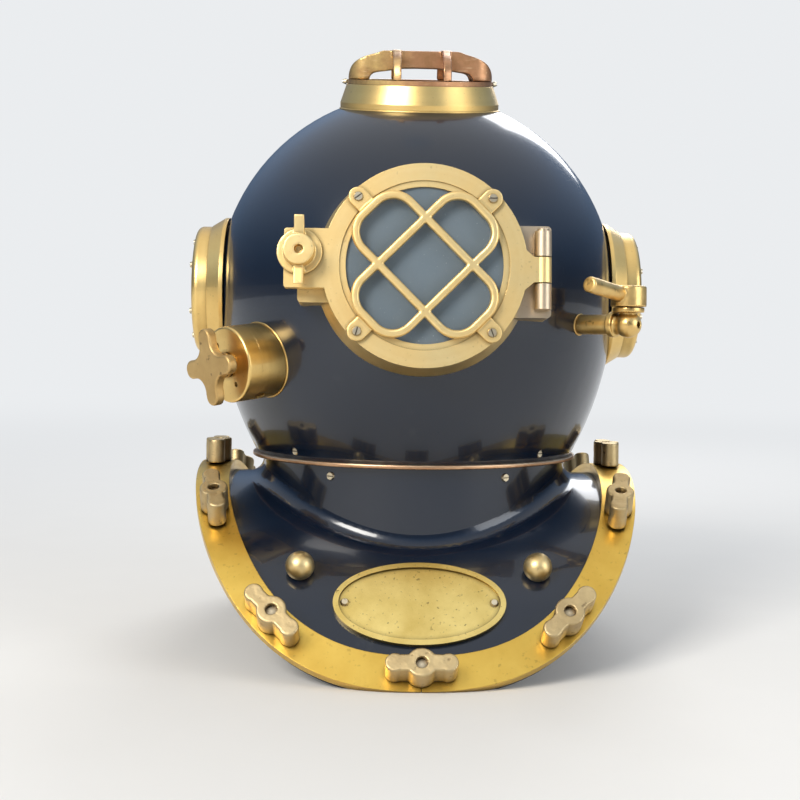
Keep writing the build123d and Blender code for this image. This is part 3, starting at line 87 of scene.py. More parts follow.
# A Recipe is one material: its nodes are made by type, settings and inputs
class Recipe:
    def __init__(self, name):
        self.material = bpy.data.materials.new(name)
        self.material.use_nodes = True
        self.tree = self.material.node_tree
        self.skin = self.tree.nodes["Principled BSDF"]
        coordinates = self.tree.nodes.new("ShaderNodeTexCoord")
        self.place = Wire(self, coordinates.outputs["Object"])

    def link(self, value, socket):
        if isinstance(value, Wire):
            self.tree.links.new(value.socket, socket)
        elif isinstance(value, (tuple, list)) and len(value) == 3 and socket.type == "RGBA":
            socket.default_value = (*value, 1.0)
        else:
            socket.default_value = value

    def make(self, kind, settings, inputs, output=0):
        node = self.tree.nodes.new(kind)
        for key, value in settings.items():
            setattr(node, key, value)
        pairs = inputs.items() if isinstance(inputs, dict) else enumerate(inputs)
        for key, value in pairs:
            self.link(value, node.inputs[key])
        return Wire(self, node.outputs[output])

    def noise(self, scale, detail, place=None, roughness=0.5):
        inputs = {"Vector": place or self.place, "Scale": scale, "Detail": detail,
                  "Roughness": roughness}
        return self.make("ShaderNodeTexNoise", {"noise_dimensions": "3D"}, inputs)

    def rings(self, wire, scale, detail):
        inputs = {"W": wire, "Scale": scale, "Detail": detail}
        return self.make("ShaderNodeTexNoise", {"noise_dimensions": "1D"}, inputs)

    def mix(self, share, first, second):
        settings = {"data_type": "RGBA"}
        return self.make("ShaderNodeMix", settings, {0: share, 6: first, 7: second}, 2)

    def part(self, index):
        return self.make("ShaderNodeSeparateXYZ", {}, [self.place], index)

    def stretched(self, scale):
        return self.make("ShaderNodeMapping", {}, {"Vector": self.place, "Scale": scale})

    def vector(self, operation, first, second, output=0):
        return self.make("ShaderNodeVectorMath", {"operation": operation}, [first, second], output)

    def axisReach(self, origin, axis):
        arm = self.vector("SUBTRACT", self.place, tuple(origin))
        height = self.vector("DOT_PRODUCT", arm, tuple(axis), 1)
        along = self.make("ShaderNodeVectorMath", {"operation": "SCALE"},
                          {0: tuple(axis), 3: height})
        flat = self.vector("SUBTRACT", arm, along)
        reach = self.make("ShaderNodeVectorMath", {"operation": "LENGTH"}, [flat], 1)
        return reach, height

    def corner(self, radius):
        return self.make("ShaderNodeBevel", {"samples": 4}, {"Radius": radius})

    def crevice(self, distance):
        settings = {"samples": 6, "only_local": False}
        return self.make("ShaderNodeAmbientOcclusion", settings, {"Distance": distance}, 1)

    # Painted shade: the colour is mixed towards a dark tone where the surface is occluded, in
    # crevices, seams and between parts
    def paintCreviceShade(self, colour, reach, share, dirt):
        return self.mix(((1 - self.crevice(reach)) * share).clamp(), colour, dirt)

    def bump(self, height, distance, strength=1.0, under=None):
        inputs = {"Height": height, "Distance": distance, "Strength": strength}
        if under is not None:
            inputs["Normal"] = under
        return self.make("ShaderNodeBump", {}, inputs)

    def finish(self, **sockets):
        for name, value in sockets.items():
            self.link(value, self.skin.inputs[name.replace("_", " ")])
        return self.material


# A port is a frame on the helmet's axis, whose third direction points out through the fitting
def portAt(origin, sideways, outward):
    return {"origin": origin, "side": sideways, "up": outward.cross(sideways), "out": outward}


# A port by its turn from the front and its rise over level, both in degrees
def radial(turn, rise, height):
    turn, rise = math.radians(turn), math.radians(rise)
    level = math.cos(rise)
    outward = Vector((math.sin(turn) * level, -math.cos(turn) * level, math.sin(rise)))
    return portAt(Vector((0, 0, height)), Vector((math.cos(turn), math.sin(turn), 0)), outward)


# A fitting's port from its joint: it points along the joint's axis, or level through its place
def jointPort(name, level=False):
    place = Vector(joints[name]["pos_m"])
    outward = Vector((place.x, place.y, 0)) if level else Vector(joints[name]["axis"])
    outward.normalize()
    reach = math.hypot(place.x, place.y) / math.hypot(outward.x, outward.y)
    sideways = Vector((-outward.y, outward.x, 0)).normalized()
    return portAt(place - outward * reach, sideways, outward)


# Outer surface of the bonnet: a dome, and below its middle a slow bend inward to the neck
bonnet = {"radius": 165 * mm, "bend": 272.84 * mm, "middle": 136 * mm, "gooseneck": 88 * mm}
neckHeight = joints["bonnet_turn"]["pos_m"][2]
domeHeight = neckHeight + bonnet["middle"]
gooseneckHeight = neckHeight + bonnet["gooseneck"]

# Axes of the fittings, as the frame has them
ports = {
    "front": radial(turn=0, rise=4, height=domeHeight),
    "top": radial(turn=0, rise=78, height=domeHeight),
    "right": radial(turn=90, rise=0, height=domeHeight),
    "left": radial(turn=-90, rise=0, height=domeHeight),
    "exhaust": jointPort("exhaust_wheel_turn"),
    "spitcock": jointPort("spitcock_turn", level=True),
    "air": radial(turn=145, rise=0, height=gooseneckHeight),
    "telephone": radial(turn=-145, rise=0, height=gooseneckHeight),
}

# Finishes: a noise's scale is per metre, and an edge is a level with its softness

# Navy paint with dust and fine scratches, and the tinned metal behind it
paint = {
    "deep": (0.002, 0.005, 0.012), "lit": (0.004, 0.010, 0.024), "cloudScale": 7.0,
    "dust": (0.20, 0.21, 0.22), "dustScale": 46.0, "dustEdge": (0.72, 0.12), "dustShare": 0.10,
    "scratchScale": (900.0, 60.0, 140.0), "scratchEdge": (0.78, 0.05),
    "peelScale": 260.0, "peelDepth": 0.06 * mm, "peelStrength": 0.35,
    "rough": 0.16, "dustRough": 0.10, "scratchRough": 0.18, "index": 1.46,
    "coat": 0.5, "coatRough": 0.03,
    "tarnish": (0.30, 0.28, 0.25), "tin": (0.42, 0.41, 0.39), "tinRough": 0.3, "tinMetal": 0.9,
}


def navyPaint(name, wall):
    r = Recipe(name)
    cloud = r.noise(paint["cloudScale"], detail=4.0)
    dust = r.noise(paint["dustScale"], detail=6.0, roughness=0.65)
    scratches = r.noise(1.0, detail=2.0, place=r.stretched(paint["scratchScale"]))
    peel = r.noise(paint["peelScale"], detail=2.0)
    colour = r.mix(cloud, paint["deep"], paint["lit"])
    dusty = dust.above(*paint["dustEdge"]) * paint["dustShare"]
    colour = r.mix(dusty, colour, paint["dust"])
    inside = wall(r)
    colour = r.mix(inside, colour, r.mix(dust, paint["tarnish"], paint["tin"]))
    scratched = scratches.above(*paint["scratchEdge"]) * paint["scratchRough"]
    rough = paint["rough"] + dust * paint["dustRough"] + scratched + inside * paint["tinRough"]
    return r.finish(Base_Color=colour, Roughness=rough, Metallic=inside * paint["tinMetal"],
                    IOR=paint["index"], Coat_Weight=paint["coat"] - inside * paint["coat"],
                    Coat_Roughness=paint["coatRough"],
                    Normal=r.bump(peel, paint["peelDepth"], paint["peelStrength"]))


# The tinned inside begins this far below the outer surface of the dome and of the bend, and on
# the breastplate where a face looks down by more than this
tinned = {"dome": 1.3 * mm, "bend": 1.4 * mm, "soft": 0.4 * mm, "down": -0.12}


def bonnetInside(r):
    arm = r.vector("SUBTRACT", r.place, (0.0, 0.0, domeHeight))
    distance = r.make("ShaderNodeVectorMath", {"operation": "LENGTH"}, [arm], 1)
    level = r.part(2)
    below = 1 - level.above(domeHeight, tinned["soft"])
    reach = r.axisReach((0, 0, 0), (0, 0, 1))[0]
    drop = domeHeight - level
    outline = (bonnet["bend"] ** 2 - drop * drop).maths("SQRT")
    outline = outline + (bonnet["radius"] - bonnet["bend"])
    inDome = 1 - (distance + below).above(bonnet["radius"] - tinned["dome"], tinned["soft"])
    inBend = 1 - (reach - outline).above(-tinned["bend"], tinned["soft"])
    return inDome + below * inBend


def plateInside(r):
    facing = r.make("ShaderNodeNewGeometry", {}, [], 1)
    upward = r.make("ShaderNodeSeparateXYZ", {}, [facing], 2)
    return upward.maths("LESS_THAN", tinned["down"])


# Brass turned on a lathe: grooves and bands run round its port's axis, and painted shade darkens
# its seams and crevices
turned = {
    "slant": 0.9, "bandScale": 180.0, "bandEdge": (0.55, 0.5), "bandShare": 0.25,
    "stainScale": 19.0, "stainEdge": (0.52, 0.5), "stainRoughEdge": (0.55, 0.4), "stainRough": 0.08,
    "speckScale": 420.0, "speckEdge": (0.70, 0.08), "speckShare": 0.25, "speck": (0.20, 0.12, 0.05),
    # The seam reach, share and colour set the painted shade in seams and crevices
    "seamReach": 3 * mm, "seamShare": 1.1, "seam": (0.13, 0.08, 0.03), "red": (0.55, 0.45, 0.34),
    "grooveRough": 0.2, "grooveDepth": 0.03 * mm, "edge": 0.5 * mm,
}


def turnedBrass(name, port, tones, rough, grooveScale=2600.0, brush=0.35, red=None):
    r = Recipe(name)
    pale, deep = tones
    reach, height = r.axisReach(ports[port]["origin"], ports[port]["out"])
    groove = r.rings(reach + height * turned["slant"], grooveScale, detail=3.0)
    band = r.rings(reach + height, turned["bandScale"], detail=2.0)
    stain = r.noise(turned["stainScale"], detail=5.0, roughness=0.6)
    speck = r.noise(turned["speckScale"], detail=3.0)
    colour = r.mix(stain.above(*turned["stainEdge"]), pale, deep)
    colour = r.mix(band.above(*turned["bandEdge"]) * turned["bandShare"], colour, deep)
    if red is not None:
        colour = r.mix(red(r), colour, turned["red"])
    specked = speck.above(*turned["speckEdge"]) * turned["speckShare"]
    colour = r.mix(specked, colour, turned["speck"])
    # Painted shade: the seam colour is mixed in where the surface is occluded
    colour = r.paintCreviceShade(colour, turned["seamReach"], turned["seamShare"], turned["seam"])
    stained = stain.above(*turned["stainRoughEdge"]) * turned["stainRough"]
    finish = rough + groove * brush * turned["grooveRough"] + stained
    normal = r.bump(groove, turned["grooveDepth"], brush, under=r.corner(turned["edge"]))
    return r.finish(Base_Color=colour, Roughness=finish, Metallic=1.0, Normal=normal)


# The hinge's ears on the front seat are redder than the seat
hinge = {"x": (65.5 * mm, 4 * mm), "y": (-150 * mm, 20 * mm), "share": 0.85}


def hingeRed(r):
    return r.part(0).above(*hinge["x"]) * (1 - r.part(1).above(*hinge["y"])) * hinge["share"]


# Brass with a cast skin: sand grain, pits, patina, and painted shade that darkens its crevices
cast = {
    "pitScale": 0.33, "pitEdge": (0.30, 0.10), "pitShare": 0.7, "pit": (0.12, 0.075, 0.035),
    "patinaScale": 38.0, "patinaEdge": (0.5, 0.45), "polishEdge": (0.6, 0.2),
    # Reach, share and colour of the painted shade in the crevices
    "dirtReach": 4 * mm, "dirtShare": 1.6, "dirt": (0.07, 0.042, 0.02),
    "sandRough": 0.16, "holeEdge": (0.30, 0.15), "holeDepth": 0.8, "strength": 0.7,
}


# Its last argument scales the painted shade in the crevices
def castBrass(name, tones, rough, depth, grain=520.0, polished=0.0, dirt=0.6):
    r = Recipe(name)
    pale, deep = tones
    sand = r.noise(grain, detail=4.0, roughness=0.62)
    pits = r.noise(grain * cast["pitScale"], detail=2.0)
    patina = r.noise(cast["patinaScale"], detail=5.0, roughness=0.62)
    colour = r.mix(patina.above(*cast["patinaEdge"]), pale, deep)
    colour = r.mix((1 - pits.above(*cast["pitEdge"])) * cast["pitShare"], colour, cast["pit"])
    # Painted shade: the crevices are darkened where the surface is occluded
    colour = r.paintCreviceShade(colour, cast["dirtReach"], dirt * cast["dirtShare"], cast["dirt"])
    finish = rough + sand * cast["sandRough"] - patina.above(*cast["polishEdge"]) * polished
    holes = pits.above(*cast["holeEdge"]) * cast["holeDepth"]
    normal = r.bump(sand + holes, depth, cast["strength"])
    return r.finish(Base_Color=colour, Roughness=finish, Metallic=1.0, Normal=normal)


# Brushed golden brass of the rim and the brails, with painted shade in its seams and crevices
strap = {
    "tones": ((0.84, 0.58, 0.13), (0.62, 0.37, 0.06)), "patinaScale": 16.0,
    "patinaEdge": (0.5, 0.55), "brushScale": (900.0, 60.0, 60.0), "brushDepth": 0.05 * mm,
    "speckScale": 300.0, "speckEdge": (0.68, 0.1), "speckShare": 0.35, "speck": (0.22, 0.13, 0.04),
    # The seam reach, share and colour set the painted shade in seams and crevices
    "seamReach": 4 * mm, "seamShare": 0.8, "seam": (0.13, 0.075, 0.02),
    "rough": 0.27, "brushRough": 0.14, "strength": 0.5, "edge": 0.7 * mm,
}


def strapBrass(name):
    r = Recipe(name)
    brush = r.noise(1.0, detail=4.0, place=r.stretched(strap["brushScale"]), roughness=0.6)
    patina = r.noise(strap["patinaScale"], detail=5.0, roughness=0.6)
    speck = r.noise(strap["speckScale"], detail=3.0)
    colour = r.mix(patina.above(*strap["patinaEdge"]), *strap["tones"])
    specked = speck.above(*strap["speckEdge"]) * strap["speckShare"]
    colour = r.mix(specked, colour, strap["speck"])
    # Painted shade: the seam colour is mixed in where the surface is occluded
    colour = r.paintCreviceShade(colour, strap["seamReach"], strap["seamShare"], strap["seam"])
    normal = r.bump(brush, strap["brushDepth"], strap["strength"], under=r.corner(strap["edge"]))
    rough = strap["rough"] + brush * strap["brushRough"]
    return r.finish(Base_Color=colour, Roughness=rough, Metallic=1.0, Normal=normal)


# Copper-red bronze of the neck rings, with a painted highlight above a height, patchy with the wear
# noise
neck = {
    "tones": ((0.64, 0.40, 0.23), (0.40, 0.20, 0.10)), "wearScale": 90.0, "wearEdge": (0.5, 0.4),
    # The bright tone above a height is a painted highlight: its colour, rise, softness and noise
    # edge
    "rub": (0.86, 0.68, 0.45), "rubRise": 2.4 * mm, "rubSoft": 1.2 * mm, "rubEdge": (0.45, 0.3),
    "bandScale": (12.0, 12.0, 1400.0), "bandDepth": 0.04 * mm, "strength": 0.4,
    "rough": 0.30, "wearRough": 0.15, "edge": 0.5 * mm,
}


def bronzeRing(name):
    r = Recipe(name)
    wear = r.noise(neck["wearScale"], detail=5.0, roughness=0.6)
    band = r.noise(1.0, detail=3.0, place=r.stretched(neck["bandScale"]))
    colour = r.mix(wear.above(*neck["wearEdge"]), *neck["tones"])
    # Painted highlight: lighter above a height where the wear noise allows it
    high = r.part(2).above(neckHeight + neck["rubRise"], neck["rubSoft"])
    paintedLitBand = high * wear.above(*neck["rubEdge"])
    colour = r.mix(paintedLitBand, colour, neck["rub"])
    normal = r.bump(band, neck["bandDepth"], neck["strength"], under=r.corner(neck["edge"]))
    rough = neck["rough"] + wear * neck["wearRough"]
    return r.finish(Base_Color=colour, Roughness=rough, Metallic=1.0, Normal=normal)


# Grained bronze of the top guard, redder to the right and gilt to the left, with painted shade in
# its crevices
bronze = {
    "red": (0.62, 0.33, 0.18), "gilt": (0.84, 0.60, 0.24), "waver": 20 * mm,
    "middle": (-10 * mm, 30 * mm),
    "brown": (0.34, 0.18, 0.08), "patinaScale": 48.0, "patinaEdge": (0.52, 0.4),
    "grainScale": (60.0, 500.0, 500.0), "grainEdge": (0.66, 0.12), "grainShare": 0.5,
    "grain": (0.80, 0.58, 0.36), "grainDepth": 0.1 * mm,
    # Reach, share and colour of the painted shade in the crevices
    "dirtReach": 4 * mm, "dirtShare": 1.1, "dirt": (0.05, 0.03, 0.018),
    "rough": 0.32, "patinaRough": 0.18, "strength": 0.6,
}


def guardBronze(name):
    r = Recipe(name)
    grain = r.noise(1.0, detail=4.0, place=r.stretched(bronze["grainScale"]), roughness=0.6)
    patina = r.noise(bronze["patinaScale"], detail=5.0, roughness=0.65)
    gilt = 1 - (r.part(0) + patina * bronze["waver"]).above(*bronze["middle"])
    colour = r.mix(gilt, bronze["red"], bronze["gilt"])
    colour = r.mix(patina.above(*bronze["patinaEdge"]), colour, bronze["brown"])
    streaks = grain.above(*bronze["grainEdge"]) * bronze["grainShare"]
    colour = r.mix(streaks, colour, bronze["grain"])
    # Painted shade: the crevices are darkened where the surface is occluded
    colour = r.paintCreviceShade(colour, bronze["dirtReach"], bronze["dirtShare"], bronze["dirt"])
    rough = bronze["rough"] + patina * bronze["patinaRough"]
    return r.finish(Base_Color=colour, Roughness=rough, Metallic=1.0,
                    Normal=r.bump(grain, bronze["grainDepth"], bronze["strength"]))


# Thick old glass, hazy and specked
pane = {
    "tones": ((0.16, 0.21, 0.25), (0.23, 0.28, 0.32)), "hazeScale": 30.0, "hazeDepth": 0.05 * mm,
    "speckScale": 800.0, "speckEdge": (0.74, 0.04), "speckShare": 0.5, "speck": (0.60, 0.63, 0.65),
    "rough": 0.06, "hazeRough": 0.08, "index": 1.5, "clear": 0.35, "strength": 0.2,
}


def windowGlass(name):
    r = Recipe(name)
    haze = r.noise(pane["hazeScale"], detail=5.0, roughness=0.6)
    speck = r.noise(pane["speckScale"], detail=2.0)
    colour = r.mix(haze, *pane["tones"])
    specked = speck.above(*pane["speckEdge"]) * pane["speckShare"]
    colour = r.mix(specked, colour, pane["speck"])
    return r.finish(Base_Color=colour, Roughness=pane["rough"] + haze * pane["hazeRough"],
                    IOR=pane["index"], Transmission_Weight=pane["clear"],
                    Normal=r.bump(haze, pane["hazeDepth"], pane["strength"]))


# Rubber and leather
seal = {"grainScale": 350.0, "grainRough": 0.12, "grainDepth": 0.12 * mm, "strength": 0.6}


def softSeal(name, tones, rough):
    r = Recipe(name)
    pale, deep = tones
    grain = r.noise(seal["grainScale"], detail=5.0, roughness=0.65)
    return r.finish(Base_Color=r.mix(grain, deep, pale),
                    Roughness=rough + grain * seal["grainRough"],
                    Normal=r.bump(grain, seal["grainDepth"], seal["strength"]))


# Pale and deep colour of each metal and seal
toneOf = {
    "door": ((0.95, 0.74, 0.36), (0.76, 0.52, 0.20)),
    "seat": ((0.93, 0.67, 0.26), (0.72, 0.46, 0.15)),
    "wheel": ((0.66, 0.46, 0.20), (0.50, 0.32, 0.12)),
    "wing": ((0.62, 0.48, 0.25), (0.44, 0.32, 0.16)),
    "cock": ((0.90, 0.66, 0.27), (0.70, 0.45, 0.16)),
    "ball": ((0.82, 0.64, 0.32), (0.66, 0.48, 0.21)),
    "screw": ((0.78, 0.70, 0.52), (0.60, 0.48, 0.30)),
    "plate": ((0.84, 0.66, 0.24), (0.64, 0.46, 0.13)),
    "rubber": ((0.05, 0.045, 0.04), (0.018, 0.016, 0.015)),
    "leather": ((0.20, 0.11, 0.055), (0.09, 0.045, 0.02)),
}
shellPaint = navyPaint("bonnet_paint", bonnetInside)
platePaint = navyPaint("breastplate_paint", plateInside)
doorBrass = turnedBrass("door_brass", "front", toneOf["door"], rough=0.38)
frontSeatBrass = turnedBrass("front_seat_brass", "front", toneOf["door"], rough=0.36, red=hingeRed)
rightBrass = turnedBrass("right_port_brass", "right", toneOf["seat"], rough=0.28)
leftBrass = turnedBrass("left_port_brass", "left", toneOf["seat"], rough=0.28)
topBrass = turnedBrass("top_port_brass", "top", toneOf["seat"], rough=0.30)
exhaustBrass = turnedBrass("exhaust_brass", "exhaust", toneOf["seat"], rough=0.27,
                           grooveScale=1500.0, brush=0.08)
wheelBrass = castBrass("wheel_brass", toneOf["wheel"], rough=0.42, depth=0.09 * mm)
wingBrass = castBrass("wing_brass", toneOf["wing"], rough=0.40, depth=0.16 * mm, dirt=1.0)
cockBrass = castBrass("cock_brass", toneOf["cock"], rough=0.30, depth=0.06 * mm, polished=0.08)
ballBrass = castBrass("ball_brass", toneOf["ball"], rough=0.34, depth=0.05 * mm, dirt=0.5)
screwBrass = castBrass("screw_brass", toneOf["screw"], rough=0.28, depth=0.03 * mm, dirt=0.9)
plateBrass = castBrass("plate_brass", toneOf["plate"], rough=0.28, depth=0.1 * mm,
                       grain=1300.0, dirt=1.0)
goldStrap = strapBrass("strap_brass")
copperRing = bronzeRing("copper_ring")
guardMetal = guardBronze("guard_bronze")
clearGlass = windowGlass("window_glass")
blackRubber = softSeal("black_rubber", toneOf["rubber"], rough=0.62)
greasedLeather = softSeal("greased_leather", toneOf["leather"], rough=0.55)

wearing = {
    shellPaint: ["bonnet_shell"],
    platePaint: ["breastplate_shell"],
    doorBrass: ["door_ring", "door_guard", "clamp_screw"],
    frontSeatBrass: ["front_seat", "hinge_pin"],
    rightBrass: ["right_port_seat", "right_port_bezel", "right_port_guard"],
    leftBrass: ["left_port_seat", "left_port_bezel", "left_port_guard"],
    topBrass: ["top_seat"],
    exhaustBrass: ["exhaust_body", "exhaust_cap"],
    wheelBrass: ["exhaust_handwheel", "exhaust_stem"],
    wingBrass: wingNuts,
    cockBrass: ["spitcock_body", "spitcock_lever", "air_gooseneck", "telephone_gooseneck"],
    ballBrass: ["ball_studs"],
    screwBrass: ["collar_screws", "neck_screws", "brail_studs", "nameplate_rivets",
                 "side_guard_screws", "top_guard_screws", "door_guard_screws"],
    plateBrass: ["nameplate"],
    goldStrap: ["breastplate_rim", "brail_front_right", "brail_front_left", "brail_back_right",
                "brail_back_left"],
    copperRing: ["bonnet_neck_ring", "breastplate_neck_ring"],
    guardMetal: ["top_guard", "top_bezel"],
    clearGlass: ["door_glass", "right_port_glass", "left_port_glass", "top_glass"],
    blackRubber: ["front_gasket", "window_gaskets"],
    greasedLeather: ["neck_gasket"],
}
for material, names in wearing.items():
    for name in names:
        cadNodes[name].data.materials.clear()
        cadNodes[name].data.materials.append(material)
print("finishes done:", len(wearing))


# Adds a node to a tree: its settings first, then the links or values of its inputs
def addNode(tree, kind, settings, inputs, output=0):
    node = tree.nodes.new(kind)
    for key, value in settings.items():
        setattr(node, key, value)
    for key, value in inputs.items():
        if isinstance(value, bpy.types.NodeSocket):
            tree.links.new(value, node.inputs[key])
        else:
            node.inputs[key].default_value = value
    return None if output is None else node.outputs[output]


# Geometry Nodes: a tree is built once, with named inputs, and each use sets them on its modifier
class GeometryTree:
    def __init__(self, name, **inputs):
        self.tree = bpy.data.node_groups.new(name, "GeometryNodeTree")
        for side in ("INPUT", "OUTPUT"):
            self.tree.interface.new_socket("Geometry", in_out=side,
                                           socket_type="NodeSocketGeometry")
        self.names = {}
        for label, kind in inputs.items():
            socket = self.tree.interface.new_socket(label, in_out="INPUT", socket_type=kind)
            self.names[label] = socket.identifier
        self.start = self.tree.nodes.new("NodeGroupInput")
        self.end = self.tree.nodes.new("NodeGroupOutput")

    def add(self, kind, settings, inputs):
        return addNode(self.tree, kind, settings, inputs)

    def close(self, geometry):
        realised = self.add("GeometryNodeRealizeInstances", {}, {"Geometry": geometry})
        dressed = self.add("GeometryNodeSetMaterial", {},
                           {"Geometry": realised, "Material": self.start.outputs["material"]})
        self.tree.links.new(dressed, self.end.inputs[0])

    def use(self, piece, **values):
        modifier = piece.modifiers.new("form", "NODES")
        modifier.node_group = self.tree
        for label, value in values.items():
            modifier[self.names[label]] = value

    # Pushes each point along its normal, by noise of the given scale and the input "waves"
    def waved(self, geometry, scale, detail=2.0):
        grain = self.add("ShaderNodeTexNoise", {"noise_dimensions": "3D"},
                         {"Scale": scale, "Detail": detail})
        centred = self.add("ShaderNodeMath", {"operation": "SUBTRACT"}, {0: grain, 1: 0.5})
        height = self.add("ShaderNodeMath", {"operation": "MULTIPLY"},
                          {0: centred, 1: self.start.outputs["waves"]})
        normal = self.add("GeometryNodeInputNormal", {}, {})
        push = self.add("ShaderNodeVectorMath", {"operation": "SCALE"}, {0: normal, 3: height})
        return self.add("GeometryNodeSetPosition", {}, {"Geometry": geometry, "Offset": push})

    # A tube of the given radius along a curve
    def tube(self, curve, sides, radius, caps=False):
        ring = self.add("GeometryNodeCurvePrimitiveCircle", {"mode": "RADIUS"},
                        {"Resolution": sides, "Radius": radius})
        return self.add("GeometryNodeCurveToMesh", {},
                        {"Curve": curve, "Profile Curve": ring, "Fill Caps": caps})


# Sides of the tubes, steps in a turn of thread, and scale of the waves along a bead
tubes = {"beadSides": 10, "beadWaves": 120.0, "threadSides": 6, "threadSteps": 40}


def sandTree():
    g = GeometryTree("cast_surface", waves="NodeSocketFloat", scale="NodeSocketFloat",
                     material="NodeSocketMaterial")
    g.close(g.waved(g.start.outputs["Geometry"], g.start.outputs["scale"]))
    return g


def beadTree():
    g = GeometryTree("braze_bead", radius="NodeSocketFloat", waves="NodeSocketFloat",
                     material="NodeSocketMaterial")
    tube = g.tube(g.start.outputs["Geometry"], tubes["beadSides"], g.start.outputs["radius"])
    moved = g.waved(tube, tubes["beadWaves"], detail=3.0)
    g.close(g.add("GeometryNodeSetShadeSmooth", {}, {"Geometry": moved}))
    return g


def threadTree():
    g = GeometryTree("thread", radius="NodeSocketFloat", pitch="NodeSocketFloat",
                     turns="NodeSocketFloat", wire="NodeSocketFloat", material="NodeSocketMaterial")
    radius, turns = g.start.outputs["radius"], g.start.outputs["turns"]
    rise = g.add("ShaderNodeMath", {"operation": "MULTIPLY"},
                 {0: g.start.outputs["pitch"], 1: turns})
    helix = g.add("GeometryNodeCurveSpiral", {},
                  {"Resolution": tubes["threadSteps"], "Rotations": turns,
                   "Start Radius": radius, "End Radius": radius, "Height": rise})
    tube = g.tube(helix, tubes["threadSides"], g.start.outputs["wire"], caps=True)
    g.close(g.add("GeometryNodeSetShadeSmooth", {}, {"Geometry": tube}))
    return g


castSurface = sandTree()
brazeBead = beadTree()
gooseThread = threadTree()


# Links a new object into the scene
def placed(name, data):
    piece = bpy.data.objects.new(name, data)
    bpy.context.scene.collection.objects.link(piece)
    return piece


# Turns a piece with modifiers into a plain mesh, moved to its place
def settle(piece, name, move=None):
    graph = bpy.context.evaluated_depsgraph_get()
    mesh = bpy.data.meshes.new_from_object(piece.evaluated_get(graph))
    if move is not None:
        mesh.transform(move)
    bpy.data.objects.remove(piece)
    mesh.shade_smooth()
    return placed(name, mesh)


# A cast piece: the CAD piece with its vertices welded, evenly remeshed, smoothed and waved
weld = {"reach": 0.002 * mm, "smoothing": 0.5}


def castCopy(node, voxel, rounds, waves, scale, material):
    mesh = cadNodes[node].data.copy()
    work = bmesh.new()
    work.from_mesh(mesh)
    bmesh.ops.remove_doubles(work, verts=work.verts, dist=weld["reach"])
    work.to_mesh(mesh)
    work.free()
    piece = placed(node + "_work", mesh)
    remesh = piece.modifiers.new("even", "REMESH")
    remesh.mode = "VOXEL"
    remesh.voxel_size = voxel
    soften = piece.modifiers.new("soften", "SMOOTH")
    soften.factor = weld["smoothing"]
    soften.iterations = rounds
    castSurface.use(piece, waves=waves, scale=scale, material=material)
    plain = settle(piece, node + "_cast")
    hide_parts(node)
    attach(plain, bodyOf[node])


# Castings: side of a voxel, rounds of smoothing, height and scale of the waves
castings = {
    "wing": {"voxel": 0.6 * mm, "rounds": 3, "waves": 0.5 * mm, "scale": 170.0},
    "wheel": {"voxel": 0.6 * mm, "rounds": 4, "waves": 0.3 * mm, "scale": 120.0},
    "guard": {"voxel": 0.8 * mm, "rounds": 5, "waves": 0.3 * mm, "scale": 110.0},
    "cock": {"voxel": 0.6 * mm, "rounds": 4, "waves": 0.3 * mm, "scale": 130.0},
    "screw": {"voxel": 0.6 * mm, "rounds": 3, "waves": 0.2 * mm, "scale": 130.0},
    "door": {"voxel": 0.6 * mm, "rounds": 2, "waves": 0.1 * mm, "scale": 90.0},
}
for node in wingNuts:
    castCopy(node, material=wingBrass, **castings["wing"])
castCopy("exhaust_handwheel", material=wheelBrass, **castings["wheel"])
castCopy("top_guard", material=guardMetal, **castings["guard"])
castCopy("spitcock_body", material=cockBrass, **castings["cock"])
castCopy("spitcock_lever", material=cockBrass, **castings["cock"])
castCopy("clamp_screw", material=doorBrass, **castings["screw"])
castCopy("door_guard", material=doorBrass, **castings["door"])
print("castings done")


# How far from the helmet's axis the bonnet's outer surface lies at a height
def bonnetReach(height):
    drop = domeHeight - height
    if drop < 0:
        return math.sqrt(max(bonnet["radius"] ** 2 - drop ** 2, 0))
    return bonnet["radius"] - bonnet["bend"] + math.sqrt(bonnet["bend"] ** 2 - drop ** 2)


# The bonnet's surface lies between these along every port's axis
seam = {"low": 90 * mm, "high": 190 * mm, "rounds": 30}


# The point of the surface that lies x aside and y above a port's axis, found by halving
def seamPoint(port, x, y):
    low, high = seam["low"], seam["high"]
    for _ in range(seam["rounds"]):
        middle = (low + high) / 2
        point = port["origin"] + port["side"] * x + port["up"] * y + port["out"] * middle
        if math.hypot(point.x, point.y) < bonnetReach(point.z):
            low = middle
        else:
            high = middle
    return port["origin"] + port["side"] * x + port["up"] * y + port["out"] * low


# Radii of the beads, height of their waves, and points round each
beads = {"large": 1.3 * mm, "small": 0.9 * mm, "waves": 0.9 * mm, "points": 96}


# A braze bead where a round fitting meets the bonnet, at a reach from its port's axis
def bead(name, port, reach, radius, material):
    curve = bpy.data.curves.new(name, "CURVE")
    curve.dimensions = "3D"
    spline = curve.splines.new("POLY")
    spline.points.add(beads["points"] - 1)
    spline.use_cyclic_u = True
    for index, point in enumerate(spline.points):
        angle = math.tau * index / beads["points"]
        x, y = reach * math.cos(angle), reach * math.sin(angle)
        point.co = (*seamPoint(ports[port], x, y), 1)
    piece = placed(name + "_work", curve)
    brazeBead.use(piece, radius=radius, waves=beads["waves"], material=material)
    plain = settle(piece, name)
    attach(plain, "bonnet")


